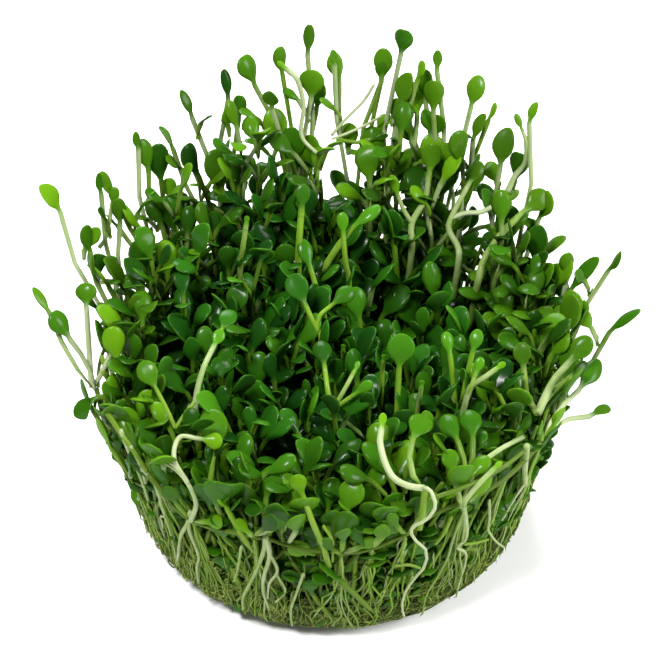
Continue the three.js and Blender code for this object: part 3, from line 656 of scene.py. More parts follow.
class Nodes:
    """A material's node tree, with short ways to add and link nodes."""

    def __init__(self, name):
        self.material = bpy.data.materials.new(name)
        self.material.use_nodes = True
        self.tree = self.material.node_tree
        self.tree.nodes.clear()

    def add(self, kind, inputs=None, **settings):
        """Adds a node, sets its properties, sets or links its inputs, and gives its first output."""
        node = self.tree.nodes.new(kind)
        for key, value in settings.items():
            setattr(node, key, value)
        for key, value in (inputs or {}).items():
            if isinstance(value, bpy.types.NodeSocket):
                self.tree.links.new(value, node.inputs[key])
            else:
                node.inputs[key].default_value = value
        return node.outputs[0] if node.outputs else None

    def trait(self, name):
        """The value of one of the mesh's attributes."""
        return self.add("ShaderNodeAttribute", attribute_name=name).node.outputs["Fac"]

    def blend(self, share, first, second, mode="MIX"):
        """Two colours mixed by a share."""
        inputs = {0: share, 6: first, 7: second}
        return self.add("ShaderNodeMix", inputs, data_type="RGBA", blend_type=mode).node.outputs[2]

    def ramp(self, share, low, high):
        """Stretches the values between low and high smoothly to those between 0 and 1."""
        return self.add("ShaderNodeMapRange", {0: share, 1: low, 2: high}, interpolation_type="SMOOTHSTEP")

    def noise(self, scale, detail=3.0):
        """Noise on the object's own coordinates, with this many features to the metre."""
        place = self.add("ShaderNodeTexCoord").node.outputs["Object"]
        return self.add("ShaderNodeTexNoise", {"Vector": place, "Scale": scale, "Detail": detail})

    def maths(self, operation, first, second):
        """One sum on two values."""
        return self.add("ShaderNodeMath", {0: first, 1: second}, operation=operation)

    def finish(self, colour, skin, bump, through, share):
        """Ends the material: a damp skin with a fine bump, and a share of the light that comes through it."""
        inputs = {"Base Color": colour, "IOR": 1.4, "Coat Roughness": 0.2}
        inputs["Normal"] = self.add("ShaderNodeBump", bump)
        skin = self.add("ShaderNodeBsdfPrincipled", inputs | skin)
        inside = self.add("ShaderNodeBsdfTranslucent", {"Color": through})
        both = self.add("ShaderNodeMixShader", {0: share, 1: skin, 2: inside})
        self.add("ShaderNodeOutputMaterial", {0: both})
        return self.material


def leaf_material(name, deep, middle, bright, under, lime, olive, white, glow):
    """A fleshy wet leaf: greens mixed by tone and freshness, a lighter edge and tip that are partly their own
    colour and partly a painted highlight, a lighter underside, a stalk from olive through lime to whitish,
    fine cells in the bump, and some light through the blade. All of it is darkened by painted shade, the more
    the further inside the plug it lies."""
    made = Nodes(name)
    fresh = made.trait("fresh")
    patches = made.maths("MULTIPLY", made.noise(420.0), 0.5)
    green = made.blend(made.ramp(made.maths("ADD", made.trait("tone"), patches), 0.2, 1.2), deep, middle)
    green = made.blend(made.ramp(fresh, 0.25, 1.0), green, bright)
    # A lighter green at the edge and tip of the blade, partly its own colour and partly a painted highlight
    green = made.blend(made.maths("MULTIPLY", made.ramp(made.trait("edge_and_highlight"), 0.8, 1.0), 0.3), green, bright)
    green = made.blend(made.maths("MULTIPLY", made.trait("under"), 0.45), green, under)
    streaked = made.maths("ADD", made.trait("pale"), made.maths("SUBTRACT", patches, 0.25))
    stem = made.blend(made.ramp(fresh, 0.0, 0.5), olive, lime)
    stem = made.blend(made.ramp(streaked, 0.45, 1.05), stem, white)
    whole = made.blend(made.ramp(made.trait("blade"), -0.5, 0.75), stem, green)
    # Painted shade: the colour is multiplied by a dull green that darkens what lies deep inside the plug
    painted_shade = made.blend(made.ramp(made.trait("unshaded"), 0.0, 1.0), PAINTED_SHADE_TINT, (1, 1, 1, 1))
    colour = made.blend(1.0, whole, painted_shade, "MULTIPLY")
    skin = {"Roughness": 0.45, "Specular IOR Level": 0.015, "Coat Weight": 0.12, "Coat IOR": 1.8}
    bump = {"Strength": 0.1, "Distance": 0.0002, "Height": made.noise(2600.0, 2.0)}
    return made.finish(colour, skin, bump, made.blend(0.4, colour, bright), glow)


def root_material(name, dark, pale):
    """Damp roots: two colours mixed by tone and by two sizes of noise, with a fine bump."""
    made = Nodes(name)
    grain = made.noise(1500.0)
    uneven_tone = made.maths("MULTIPLY", made.maths("ADD", made.noise(180.0, 4.0), grain), 0.35)
    colour = made.blend(made.ramp(made.maths("ADD", made.trait("tone"), uneven_tone), 0.3, 1.3), dark, pale)
    skin = {"Roughness": 0.6, "Specular IOR Level": 0.08, "Coat Weight": 0.1}
    return made.finish(colour, skin, {"Strength": 0.4, "Distance": 0.0003, "Height": grain}, colour, 0.2)


# The colours: what lies deep inside the plug is darkened by painted shade, and glow is the share of light
# through a leaf
PAINTED_SHADE_TINT = (0.34, 0.47, 0.2, 1)
# The inner leaves' greens are darker than the rim's, partly their own colour and partly painted shade inside
# the canopy
LEAF = leaf_material(
    "deep green leaf", deep=(0.005, 0.034, 0.003, 1), middle=(0.015, 0.086, 0.004, 1),
    bright=(0.062, 0.21, 0.006, 1), under=(0.03, 0.11, 0.012, 1), lime=(0.15, 0.28, 0.02, 1),
    olive=(0.06, 0.12, 0.01, 1), white=(0.4, 0.47, 0.25, 1), glow=0.08,
)
RIM_LEAF = leaf_material(
    "fresh green leaf", deep=(0.009, 0.046, 0.003, 1), middle=(0.032, 0.13, 0.004, 1),
    bright=(0.12, 0.29, 0.006, 1), under=(0.045, 0.15, 0.012, 1), lime=(0.18, 0.31, 0.03, 1),
    olive=(0.07, 0.12, 0.012, 1), white=(0.46, 0.52, 0.3, 1), glow=0.28,
)
MAT = root_material("matted roots", (0.032, 0.055, 0.006, 1), (0.24, 0.32, 0.06, 1))


# The shoots of a tuft


def looks(rng, fresh=0.3, pale=0.25):
    """Random looks of one leaf: how it is cupped, curled and twisted, and its shade."""
    return {
        "cup": rng.uniform(-0.35, 0.3), "curl": rng.uniform(-0.22, 0.03), "twist": rng.uniform(-0.6, 0.6),
        "tone": rng.uniform(0.0, 1.0), "fresh": np.clip(fresh + rng.normal(0, 0.2), 0, 1),
        "pale": np.clip(pale + rng.normal(0, 0.18), 0, 1),
    }


def small_size(rng, shortest, longest, slimmest, widest):
    """A random length for a small blade, and a width that is a random share of it."""
    length = rng.uniform(shortest, longest)
    return length, length * rng.uniform(slimmest, widest)


def bud(foot, tip, turn, length, fresh, pale):
    """A pair of young leaves that is still closed, as one small blade."""
    face = polar(turn, 1, 0.2)
    return leaf(foot, (foot + tip) / 2, tip, face, (length, 0.8), neck=0.6, fresh=fresh, pale=pale)


def shoot(rng, x, y, top, openings, fresh=0.3, pale=0.25):
    """A slim stem from the mat to a top, with crossed pairs of leaves: the highest pair stands in a V round a
    bud, and each pair below arches further out. openings are the slopes of the highest and lowest pairs."""
    stem_top, foot = fanned(x, y, top - 6), fanned(x, y, STEM_FOOT)
    share = np.linspace(0, 1, 9)
    sway = polar(rng.uniform(0, 360), rng.uniform(0.3, 1.4), 0)
    line = foot + (stem_top - foot) * share[:, None] + sway * np.sin(np.pi * share)[:, None]
    rows = []
    turn = rng.uniform(0, 360)
    for pair in range(PAIRS):
        down = pair * rng.uniform(3.0, 4.2) / np.linalg.norm(stem_top - foot)
        node = np.array([np.interp(np.clip(1 - down, 0.05, 1), share, line[:, k]) for k in range(3)])
        slope = mix(*openings, pair / (PAIRS - 1))
        for half in range(2):
            aim = turn + 90 * pair + 180 * half + rng.uniform(-25, 25)
            length = mix(3.4, 6.4, rng.beta(2, 2))
            size = (length, length * rng.uniform(0.48, 0.66))
            reach = length + rng.uniform(1.6, 5.6)
            tilt = slope + rng.uniform(-18, 18)
            style = looks(rng, fresh - 0.1 * pair, pale)
            rows.append(arched_leaf(node, aim, reach, tilt, size, neck=0.7, **style))
    rows.append(bud(stem_top, stem_top + polar(turn, 0.5, rng.uniform(1.6, 3.0)), turn, 1.2, 1.0, 0.4))
    shade = {"fresh": rng.uniform(0.2, 0.7), "pale": pale + rng.uniform(-0.15, 0.35)}
    return rows, rods(line[None], SHOOT_WIDTH * 1.1, SHOOT_WIDTH * 0.8, 6, **shade)


def low_growth(rng, x, y, count, spread):
    """Small leaves and slim stems low down between the stems of a tuft, at even chances over a square."""
    rows, lines = [], []
    for _ in range(count):
        place = (x, y) + rng.uniform(-spread, spread, 2)
        foot = fanned(*place, rng.uniform(7.6, 17))
        size = small_size(rng, 3.2, 5.4, 0.5, 0.72)
        aim, reach, slope = rng.uniform(0, 360), size[0] + rng.uniform(1, 3), rng.uniform(15, 75)
        rows.append(arched_leaf(foot, aim, reach, slope, size, **looks(rng, 0.1)))
    share = np.linspace(0, 1, 6)[:, None]
    for _ in range(count // 4):
        place = (x, y) + rng.uniform(-spread, spread, 2)
        foot, end = fanned(*place, STEM_FOOT), fanned(*place, rng.uniform(18, 27))
        sway = polar(rng.uniform(0, 360), rng.uniform(0.5, 2.5), 0)
        lines.append(foot + (end - foot) * share + sway * share**2)
    fresh = rng.uniform(0, 0.6, len(lines))
    stems = rods(lines, SHOOT_WIDTH, SHOOT_WIDTH * 0.7, 5, fresh=fresh, pale=0.2)
    return [leaf_shapes(clear(rows), TINY), stems]


def inner_tuft(index):
    """The stem and side leaves of one inner tuft, as its solid has them, and smaller shoots round them."""
    rng = np.random.default_rng(100 + index)
    start = inner_start(index)
    top = canopy_height(start[0], start[1]) + uneven(UNEVEN_TOP, index, HEIGHT)
    turn = 360 * scatter(index, TURN) + TURNED_ASIDE.get(index + 1, 0)
    out = polar(turn, mix(*STEM_LEAN, scatter(index, LEAN)), 0)
    stem = stem_leaf(start[0], start[1], out, top, blade_size(index, SIZE), **looks(rng))
    near = [stem]
    for j, (rise, below, turned) in enumerate(SIDE_LEAVES[: 2 - index % 2]):
        number = INNER_TUFTS * (j + 1) + index
        aim = turn + turned + uneven(UNEVEN_AIM, number, AIM)
        lean = polar(aim, mix(*SIDE_LEAN, scatter(number, LEAN)), 0)
        height = top - below - UNEVEN_DROP * scatter(number, DROP)
        tip = fanned(start[0] + lean[0], start[1] + lean[1], height)
        near.append(free_leaf(on_stem(stem, rise), tip, blade_size(number, SIZE), 0.7, **looks(rng)))
    far, stems = [], []
    for number in range(3):
        x, y, _ = start + polar(turn + 120 * number + rng.uniform(-30, 30), rng.uniform(1.8, 3.2), 0)
        level = canopy_height(x, y) + rng.uniform(-6, 1.5) - 5 * dip(x, y)
        rows, stem_shape = shoot(rng, x, y, level, (72, 30))
        far += rows
        stems.append(stem_shape)
    low = low_growth(rng, start[0], start[1], 24, 4.2)
    ends, strand_shapes = strands(index)
    near += front_leaves(index) + ends
    return [leaf_shapes(near, NEAR), leaf_shapes(clear(far), FAR), *stems, *low, *strand_shapes]


def clear(rows):
    """The rows whose blade doesn't lie over a bare stalk or root, as seen from the front and above."""
    blades = np.array([[mix(row["knee"], row["tip"], share) for share in (0.2, 0.6, 1.0)] for row in rows])
    gap = blades[:, :, None] - UNCOVERED
    ahead = gap @ unit(TO_VIEWER)
    aside = np.sqrt(np.maximum((gap**2).sum(-1) - ahead**2, 0))
    over = ((aside < COVER) & (ahead > -0.5) & (ahead < 6)).any((1, 2))
    return [row for row, hidden in zip(rows, over) if not hidden]


def pressed(style, rng):
    """Looks of a leaf that grew pressed to the cup: nearly flat, and turned little."""
    limits = {"cup": (-0.1, 0.15), "curl": (-0.06, 0.0), "twist": (-0.15, 0.15)}
    return style | {name: rng.uniform(*pair) for name, pair in limits.items()}


def placed_wall_leaves(index):
    """The leaves that lie at given places on the wall and belong to one rim tuft."""
    rng = np.random.default_rng(800 + index)
    rows = []
    for turn, height, tip_turn, tip_height, *size, fresh in WALL_LEAVES:
        if rim_at(turn) != index:
            continue
        foot, tip = on_wall(turn, height, -0.6), on_wall(tip_turn, tip_height, 0.3)
        knee = on_wall((turn + tip_turn) / 2, (height + tip_height) / 2, 0.5)
        style = pressed(looks(rng), rng) | {"fresh": fresh, "pale": 0.4}
        rows.append(leaf(foot, knee, tip, polar(turn, 1, 0.25), size, **style))
    return rows


def drawer(rng, count):
    """A way to draw a column of so many random numbers between two limits."""
    return lambda low, high: rng.uniform(low, high, (count, 1))


def wall_growth(rng, azimuth):
    """What grew pressed to the cup: leaves whose foot, knee and tip all lie on the wall, scale-like young
    leaves, stalks that wander up the wall, and rootlets that hang down it."""
    rows, scales = [], []
    for _ in range(26):
        turn, height = azimuth + rng.uniform(-11, 11), rng.uniform(5, 25)
        drift, climb, depth = rng.uniform(-11, 11), rng.uniform(4, 9), rng.uniform(-3.4, 0)
        foot = on_wall(turn, height, depth - 0.8)
        knee = on_wall(turn + drift * 0.5 + rng.uniform(-3, 3), height + climb * 0.5, depth + 0.2)
        tip = on_wall(turn + drift, height + climb, depth + rng.uniform(-0.5, 0.1))
        face = polar(turn, 1, 0.25) * (1 if rng.uniform() < 0.6 else -1)
        size = mix(np.array([3.6, 2.0]), np.array([6.4, 3.8]), rng.beta(2, 2))
        rows.append(leaf(foot, knee, tip, face, size, **pressed(looks(rng, 0.3, 0.35), rng)))
    for _ in range(40):
        turn, height, depth = azimuth + rng.uniform(-11, 11), rng.uniform(4, 26), rng.uniform(-0.9, 0.25)
        foot = on_wall(turn, height, depth - 0.6)
        tip = on_wall(turn + rng.uniform(-4, 4), height + rng.uniform(-1.2, 2.6), depth + 0.2)
        size = (rng.uniform(1.4, 3.0), rng.uniform(1.0, 2.3))
        style = pressed(looks(rng, 0.35, 0.4), rng)
        scales.append(leaf(foot, (foot + tip) / 2, tip, polar(turn, 1, 0.2), size, **style))
    count = 16
    draw = drawer(rng, count)
    share = np.linspace(0, 1, 9)[None]
    turn = azimuth + draw(-12, 12) + draw(-16, 16) * share
    height = mix(draw(4, 14), draw(16, 31), share)
    points = on_wall(turn, height, draw(-2.6, -0.2) + 0.4 * np.sin(share * draw(3, 7)))
    width = rng.uniform(0.5, 0.95, count)
    shade = {"fresh": rng.uniform(0, 0.8, count), "pale": rng.uniform(0, 0.65, count)}
    stalks = rods(blunt(points), width, width * 0.8, 5, **shade)
    leaves = [leaf_shapes(clear(rows), FAR), leaf_shapes(clear(scales), TINY)]
    return [*leaves, stalks, felt(rng, azimuth), hanging_roots(rng, azimuth)]


def felt(rng, azimuth):
    """Fine olive roots that fill the wall behind the leaves, each a slanting line with a sine wave on it."""
    count = 170
    draw = drawer(rng, count)
    share = np.linspace(0, 1, 7)[None]
    wave = np.sin(share * draw(2, 8) + draw(0, 6))
    height = draw(4, 16) + draw(2, 9) * share
    turn = azimuth + draw(-12, 12) + draw(-4, 4) * share + 0.7 * wave
    width = rng.uniform(0.16, 0.4, count)
    points = on_wall(turn, height, draw(-3.4, -1.2) + 0.4 * wave)
    shade = {"fresh": rng.uniform(0.1, 0.6, count), "pale": rng.uniform(0, 0.7, count)}
    return rods(points, width, width * 0.6, 4, **shade)


def hanging_roots(rng, azimuth):
    """Fine roots that hang down the wall, each with a sideways sine wave that grows towards its end."""
    count = 7
    draw = drawer(rng, count)
    share = np.linspace(0, 1, 13)[None]
    height = mix(draw(9, 27), draw(0.8, 6), share)
    wave = np.sin(share * draw(6, 22) + draw(0, 6))
    turn = azimuth + draw(-11, 11) + share * (draw(-4, 4) + wave)
    points = on_wall(turn, height, draw(-1.0, 0.25) + 0.2 * wave * share)
    width = rng.uniform(0.16, 0.36, count)
    return rods(points, width, width * 0.6, 4, pale=rng.uniform(0.4, 0.8, count))


def front_leaves(tuft):
    """The leaves that stand out at the front and belong to one tuft."""
    rng = np.random.default_rng(300 + tuft)
    rows = []
    for foot, knee, tip, length, width, stalk, fresh, pale in FRONT_LEAVES:
        if owner(foot) != tuft:
            continue
        foot, knee, tip = (np.array(place, float) for place in (foot, knee, tip))
        back = unit(knee - tip)
        face = unit(UP + 0.6 * unit(foot - tip)) - back * 0.2
        style = {**looks(rng), "fresh": fresh, "pale": pale, "tone": 0.8, "twist": rng.uniform(-0.25, 0.25)}
        rows.append(leaf(foot, knee, tip, face, (0.95 * length, 0.82 * width), stalk=0.8 * stalk, **style))
    return rows


def rooted(places):
    """The places of a stalk, which goes on down towards the mat where it starts low among the leaves."""
    x, y, height = places[0]
    if height > LOW_START or np.hypot(x, y) > RIM_FROM + 1:
        return places
    closer = float(wall_radius(height - GOES_DOWN) / wall_radius(height))
    return [(x * closer, y * closer, height - GOES_DOWN), *places]


def strands(tuft):
    """The stalks that stand out and end at one tuft, and the blades that end them."""
    rng = np.random.default_rng(700 + tuft)
    rows, shapes = [], []
    for places, start, end, *size, fresh, pale in STRANDS:
        if owner(places[-1]) != tuft:
            continue
        line = smooth_line(rooted(places), 22)
        shapes.append(rods(blunt(line[None]), start, end, 8, fresh=fresh, pale=pale, tone=0.9))
        if size[0]:
            ahead = unit(line[-1] - line[-3])
            tip = line[-1] + ahead * (size[0] + 0.3)
            style = looks(rng) | {"fresh": fresh, "pale": pale, "stalk": end, "neck": end}
            style["twist"] = rng.uniform(-0.3, 0.3)
            rows.append(leaf(line[-3], line[-1], tip, TO_VIEWER - ahead * 0.2, size, **style))
    return rows, shapes


def partners(rng, tall):
    """The leaves that grow with a tall one: its partner, which leaves the same stalk and ends beside it, and
    smaller leaves at two forks, each with a bud."""
    rows = []
    for fork_share, count, longest in ((rng.uniform(0.62, 0.85), 1, 4.4), (rng.uniform(0.3, 0.5), 2, 5.4)):
        fork = on_stem(tall, fork_share)
        turn = rng.uniform(0, 360)
        for number in range(count):
            size = small_size(rng, 2.6, longest, 0.48, 0.7)
            aim = turn + 360 * number / count + rng.uniform(-30, 30)
            reach, slope = size[0] + rng.uniform(1.0, 3.5), rng.uniform(35, 78)
            rows.append(arched_leaf(fork, aim, reach, slope, size, **looks(rng, 0.5, 0.6)))
        rows.append(bud(fork, fork + UP * 1.8 + polar(turn, 0.5, 0), turn, 1.4, 0.9, 0.5))
    side = polar(rng.uniform(0, 360), rng.uniform(2.0, 4.5), 0)
    end = held_in(mix(fork, tall["tip"], rng.uniform(0.55, 0.95)) + side, 1.5)
    size = small_size(rng, 3.0, 5.2, 0.45, 0.7)
    rows.append(free_leaf(fork, end, size, 0.3, bow=rng.uniform(-1.2, 1.2), **looks(rng, 0.5, 0.7)))
    return rows


def rim_tuft(index):
    """The stem, tall leaves and low leaves of one rim tuft, as its solid has them, with smaller shoots, the
    growth on the wall, and the leaves that stand out at the front."""
    rng = np.random.default_rng(500 + index)
    azimuth = index * 360 / RIM_TUFTS
    start = polar(azimuth, RIM_RADIUS, MAT_HEIGHT)
    top = canopy_height(start[0], start[1])
    out = polar(azimuth, RIM_LEAN, 0)
    size = blade_size(index, STEM_SIZE)
    stem = stem_leaf(start[0], start[1], out, top - RIM_BELOW, size, **looks(rng, 0.4))
    # Painted backlight: the growth at the back gets lighter greens and whiter stalks
    back = float(smooth(start[1] / 20))
    backlit_green, backlit_white = PAINTED_BACKLIGHT_GREEN * back, PAINTED_BACKLIGHT_WHITE * back
    own = [row for row in TALL_LEAVES if rim_at(azimuth_of(row)) == index]
    near, low, far, stems = [stem], [], [], []
    for j, row in enumerate(own):
        style = looks(rng, 0.5 + backlit_green, 0.65 + 0.5 * backlit_white)
        style |= {"twist": rng.uniform(-0.4, 0.4), "curl": rng.uniform(-0.4, 0.15)}
        tall = placed_leaf(on_stem(stem, TALL_RISE - TALL_STEP * j), row, 0.3, **style)
        near.append(tall)
        far += partners(rng, tall)
    for j, (rise, turned, inside, below) in enumerate(RIM_LEAVES):
        number = RIM_TUFTS * j + index
        aim = azimuth + turned + uneven(UNEVEN_RIM_AIM, number, RIM_AIM)
        tip = on_wall(aim, top - below, -inside)
        low.append(free_leaf(on_stem(stem, rise), tip, blade_size(number, RIM_SIZE), 0.55, **looks(rng, 0.4)))
        if below > CLEAR_OF_WALL:
            low[-1] |= pressed({"face": unit(polar(aim, 1, 0.3))}, rng)
    ends, strand_shapes = strands(INNER_TUFTS + index)
    near += clear(low) + front_leaves(INNER_TUFTS + index) + placed_wall_leaves(index) + ends
    for number in range(5 if start[1] < 15 else 3):
        x, y, _ = polar(azimuth + (number - 2) * 4 + rng.uniform(-2, 2), rng.uniform(21.5, 26.5), 0)
        level = canopy_height(x, y) + rng.uniform(-6, 2) + BACK_RISE * float(smooth(y / 25))
        rows, stem_shape = shoot(rng, x, y, level, (66, 20), 0.4 + backlit_green, 0.3 + backlit_white)
        far += rows
        stems.append(stem_shape)
    stems += low_growth(rng, *polar(azimuth, 23, 0)[:2], 32 if start[1] < 15 else 22, 3.8)
    leaves = [leaf_shapes(near, NEAR), leaf_shapes(clear(far), FAR)]
    return [*leaves, *stems, *strand_shapes, *wall_growth(rng, azimuth)]


# Runners and roots


def rootlets(rng, joint):
    """A fan of fine roots from a joint: they leave it in a bundle, drift apart with a power of the way down
    the wall, and wriggle more towards their ends on the mat."""
    draw = drawer(rng, ROOTLETS)
    share = np.linspace(0, 1, 16)[None]
    end = mix(draw(0.9, 6.5), joint[2] - 5, draw(0, 1) ** 4)
    wave = np.sin(share * draw(6, 24) + draw(0, 6))
    drift = draw(-1, 1) * ROOTLET_SPREAD
    turn = azimuth_of(joint) + drift * share ** draw(1.2, 3.5) + draw(0.4, 1.9) * wave * share
    out = mix(0.9, draw(-0.5, 0.7), share**0.5) + 0.2 * wave * share
    return on_wall(turn, mix(joint[2], end, share), out)


def link(rng, start, end):
    """A thin runner along the wall between two joints, with a half sine of sway in its height."""
    share = np.linspace(0, 1, 11)
    (turn_a, height_a), (turn_b, height_b) = start, end
    apart = (turn_b - turn_a + 180) % 360 - 180
    height = mix(height_a, height_b, share) + rng.uniform(-1.5, 1.5) * np.sin(np.pi * share)
    return on_wall(turn_a + apart * share, height, 0.7)[None]


def runner(index):
    """One runner with its leaves and long leaves, as its solid has them, a spray of rootlets at each joint, a
    thin runner on to the next one, and the thick roots near it."""
    rng = np.random.default_rng(900 + index)
    joints, tall = RUNNERS[index]
    line = smooth_line([on_wall(azimuth, height, 1) for azimuth, height in joints], 17)
    near, roots = [], []
    for j, place in enumerate(line[[1, 8, 15]]):
        number = 3 * index + j
        azimuth = azimuth_of(place)
        climb = mix(0.5, 0.75, scatter(number, WALL_HEIGHT))
        tip = on_wall(azimuth + uneven(6, number, WALL_AIM), mix(place[2], RUNNER_LEAF_TOP, climb), 2.6)
        length, width = blade_size(number, WALL_SIZE)
        made = free_leaf(place, tip, (0.8 * length, 0.65 * width), 0.55, **looks(rng, 0.45, 0.5))
        near.append(made | {"face": unit(polar(azimuth, 1, 0.5))})
        for side in (-1, 1):
            aim, rise = azimuth + side * rng.uniform(4, 9), rng.uniform(2, 7)
            tip = on_wall(aim, place[2] + rise, rng.uniform(0.4, 1.6))
            size = (rng.uniform(2.8, 4.2), rng.uniform(1.7, 2.7))
            small = free_leaf(place, tip, size, 0.4, **looks(rng, 0.45, 0.5))
            near.append(small | {"face": unit(polar(azimuth, 1, 0.6))})
        roots.append(rootlets(rng, place))
    near = clear(near) + [placed_leaf(line[1], row, 0.6, **looks(rng, 0.6, 0.9)) for row in tall]
    roots = np.concatenate(roots)
    fine = rng.uniform(0.24, 0.55, len(roots))
    sprays = rods(roots, fine, fine * 0.5, 5, pale=rng.uniform(0.35, 0.75, len(roots)))
    body = rods(blunt(line[None]), RUNNER_WIDTH, RUNNER_WIDTH * 0.85, 8, fresh=0.15, pale=0.2)
    onward = blunt(link(rng, *LINKS[index]))
    thin = rods(onward, RUNNER_WIDTH * 0.8, RUNNER_WIDTH * 0.7, 6, fresh=0.1, pale=0.15)
    return [leaf_shapes(near, NEAR), body, sprays, thin, *thick_roots(index)]


def thick_roots(index):
    """The thick roots on the wall that belong to one runner, the nearest by azimuth."""
    middles = np.array([joints[1][0] for joints, _ in RUNNERS])
    shapes = []
    for places, start, end, fresh, pale in WALL_ROOTS:
        if np.argmin(np.abs((middles - places[0][0] + 180) % 360 - 180)) == index:
            line = smooth_line(wall_places(places), 30)
            shapes.append(rods(blunt(line[None]), start, end, 7, fresh=fresh, pale=pale, tone=0.9))
    return shapes


def lumps(azimuth, height):
    """A smooth uneven field over the wall: waves of several lengths that run up, round and aslant."""
    turn = np.radians(azimuth)
    return (
        0.40 * np.sin(23 * turn + 0.7 * height) + 0.30 * np.sin(41 * turn - 1.1 * height + 2)
        + 0.22 * np.sin(67 * turn + 2.3 * height + 1) + 0.18 * np.sin(9 * turn + 1.9 * height + 4)
    )


def mat_body():
    """The puck of matted roots: rings from the middle of the underside, out round the rounded edge, up the
    wall and back to the middle of the top. The wall is pushed in and out by the lumps."""
    azimuth = np.linspace(0, 360, MAT_SIDES, endpoint=False)[None]
    edge, upright = np.radians(np.linspace(12, 84, 7)), np.linspace(EDGE_ROUND, MAT_HEIGHT - 0.4, 5)
    under, over = BASE_RADIUS * np.linspace(0.25, 1, 4), wall_radius(MAT_HEIGHT) * np.linspace(0.97, 0.2, 14)
    radius = np.concatenate([under, BASE_RADIUS + EDGE_ROUND * np.sin(edge), wall_radius(upright), over])
    level = np.concatenate([0 * under, EDGE_ROUND * (1 - np.cos(edge)), upright, 0 * over + MAT_HEIGHT])
    radius, level = radius[:, None], level[:, None]
    field = lumps(azimuth, level)
    top = level >= MAT_HEIGHT - 0.01
    wall = (level > 0.01) & ~top
    tone = 0.2 + 0.2 * field - 0.3 * top
    radius = radius + np.where(wall, 0.35 * field - 0.55, 0)
    level = level + np.where(top, 0.5 * np.sin(radius * 2.1 + 5 * np.radians(azimuth)) + 0.3 * field, 0)
    rings = polar(azimuth, radius, level).reshape(-1, 3)
    vertices = np.concatenate([[[0, 0, 0]], rings, [[0, 0, MAT_HEIGHT]]])
    quads, triangles = tube_faces(len(field), MAT_SIDES)
    traits = {name: np.zeros(len(vertices)) for name in ("blade", "edge_and_highlight", "under", "fresh", "pale")}
    traits["tone"] = np.concatenate([[0.3], tone.ravel(), [0.0]])
    return {"vertices": vertices, "quads": quads, "triangles": triangles, "traits": traits}


def mat_fibres():
    """Roots over the mat: fine rods that run down the wall, others that creep round it, and some that lie on
    the top and the underside, each wriggling with sine waves of its own."""
    rng = np.random.default_rng(7)
    share = np.linspace(0, 1, 10)[None]

    def wriggle(draw, most):
        """A sine wave along each root, with a rate, a start and a depth of its own."""
        rate, start = draw(3, 14), draw(0, 6)
        return draw(0.2, 1) * most * np.sin(share * rate + start)

    def fibres(points, widest, tones):
        """Tapering rods along the points, each with a width and a tone of its own."""
        tone = rng.uniform(*tones, len(points))
        width = rng.uniform(0.16, widest, len(points))
        return rods(points, width, width * 0.6, 4, tone=tone)

    def hanging(count):
        """Roots that run down the wall from random places, and wriggle as they go."""
        draw = drawer(rng, count)
        start, top, foot = draw(0, 360), draw(3.5, 11.5), draw(0.35, 5)
        turn = start + draw(-5, 5) * share + wriggle(draw, 1.1)
        out = draw(-0.7, 0.1) + wriggle(draw, 0.2)
        return fibres(on_wall(turn, mix(top, foot, share), out), 0.3, (0.1, 1.0))

    def creeping(count, azimuths, levels, climbs, lift, lowest, turns, swing, outs, off, widest, tones):
        """Roots that run round the wall, climb or sink evenly, and stay above a lowest level."""
        draw = drawer(rng, count)
        start = draw(*azimuths)
        level = np.maximum(draw(*levels) + draw(*climbs) * share + wriggle(draw, lift), lowest)
        turn = start + draw(*turns) * share + wriggle(draw, swing)
        return fibres(on_wall(turn, level, draw(*outs) + wriggle(draw, off)), widest, tones)

    def lying(count, radii, height, step, lift, limit, tones):
        """Roots that go on in equal steps while their heading wriggles, drawn in at a limit of the radius."""
        draw = drawer(rng, count)
        start = polar(draw(0, 360), draw(*radii), height)
        heading = draw(0, 360) + wriggle(draw, 50)
        points = start + np.cumsum(polar(heading, step, 0), axis=1)
        if lift:
            points += UP * wriggle(draw, lift)[..., None]
        points[..., :2] *= np.minimum(1, limit / np.hypot(points[..., 0], points[..., 1]))[..., None]
        return fibres(points, 0.4, tones)

    return [
        hanging(1500),
        creeping(
            400, azimuths=(0, 360), levels=(0.7, 9.5), climbs=(-2, 2), lift=0.5, lowest=0.4, turns=(8, 24),
            swing=0.8, outs=(-0.6, 0.1), off=0.15, widest=0.28, tones=(0, 0.8),
        ),
        lying(350, radii=(20, 27.5), height=8.3, step=0.7, lift=0.4, limit=27.3, tones=(0, 0.6)),
        lying(120, radii=(2, 20), height=0.25, step=1, lift=0, limit=22.2, tones=(0.2, 0.9)),
        creeping(
            420, azimuths=(-172, -102), levels=(0.8, 14), climbs=(-1, 7), lift=0.4, lowest=0.5,
            turns=(-3.5, 3.5), swing=0.7, outs=(-0.5, 0.45), off=0.2, widest=0.3, tones=(0.6, 1.3),
        ),
    ]


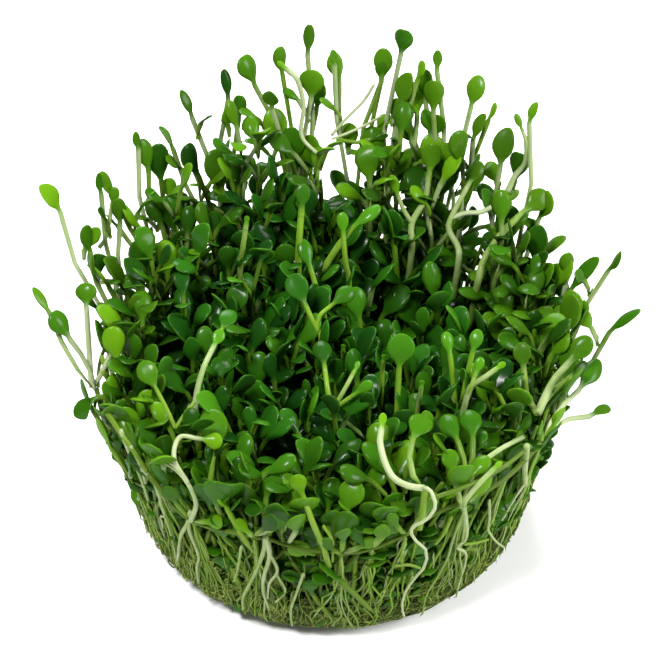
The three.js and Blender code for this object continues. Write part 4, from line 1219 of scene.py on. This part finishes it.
def build_plant():
    """Makes every piece of the plant and stands it in for its solid."""
    piece("matted_roots", [mat_body()] + mat_fibres(), MAT, "root_mat", ["root_mat"])
    for kind, count, grow, ending, material, slot in (
        ("tuft", INNER_TUFTS, inner_tuft, "leaves", LEAF, "leaf"),
        ("rim_tuft", RIM_TUFTS, rim_tuft, "leaves", RIM_LEAF, "rim_leaf"),
        ("runner", len(RUNNERS), runner, "shoots", RIM_LEAF, "runner"),
    ):
        for index in range(count):
            name = f"{kind}_{index + 1:02d}"
            piece(f"{name}_{ending}", grow(index), material, slot, [name])


# The stage


def look_along(heading):
    """The turn that points a camera or light along a heading, with its upper side up."""
    flat = np.hypot(heading[0], heading[1])
    return (np.arctan2(flat, -heading[2]), 0.0, np.arctan2(heading[1], heading[0]) - np.pi / 2)


def build_stage():
    """A pale floor, three soft square lights, a pale world, and the camera."""
    scene = bpy.context.scene
    corners = [(-FLOOR, -FLOOR, 0), (FLOOR, -FLOOR, 0), (FLOOR, FLOOR, 0), (-FLOOR, FLOOR, 0)]
    mesh = bpy.data.meshes.new("floor")
    mesh.from_pydata(corners, [], [(0, 1, 2, 3)])
    floor = stand("floor", mesh)
    paint = Nodes("pale floor")
    skin = paint.add("ShaderNodeBsdfPrincipled", {"Base Color": (0.93, 0.93, 0.93, 1), "Roughness": 0.8})
    paint.add("ShaderNodeOutputMaterial", {0: skin})
    mesh.materials.append(paint.material)
    world = bpy.data.worlds.new("pale room")
    world.use_nodes = True
    world.node_tree.nodes["Background"].inputs[0].default_value = (1, 1, 1, 1)
    world.node_tree.nodes["Background"].inputs[1].default_value = WORLD_LIGHT
    scene.world = world
    for name, place, size, energy in LIGHTS:
        light = bpy.data.lights.new(name, "AREA")
        light.size = size
        light.energy = energy
        made = stand(name, light)
        made.location = place
        made.rotation_euler = look_along(np.subtract(LIT_PLACE, place))
    camera = bpy.data.cameras.new("camera")
    camera.lens = LENS
    camera.sensor_width = 36
    camera.clip_start = 0.01
    view = stand("camera", camera)
    heading = np.array([0, np.cos(LOOKS_DOWN), -np.sin(LOOKS_DOWN)])
    view.location = SEEN_PLACE - heading * CAMERA_DISTANCE
    view.rotation_euler = look_along(heading)
    scene.camera = view
    scene.view_settings.view_transform = "Standard"


build_plant()
build_stage()
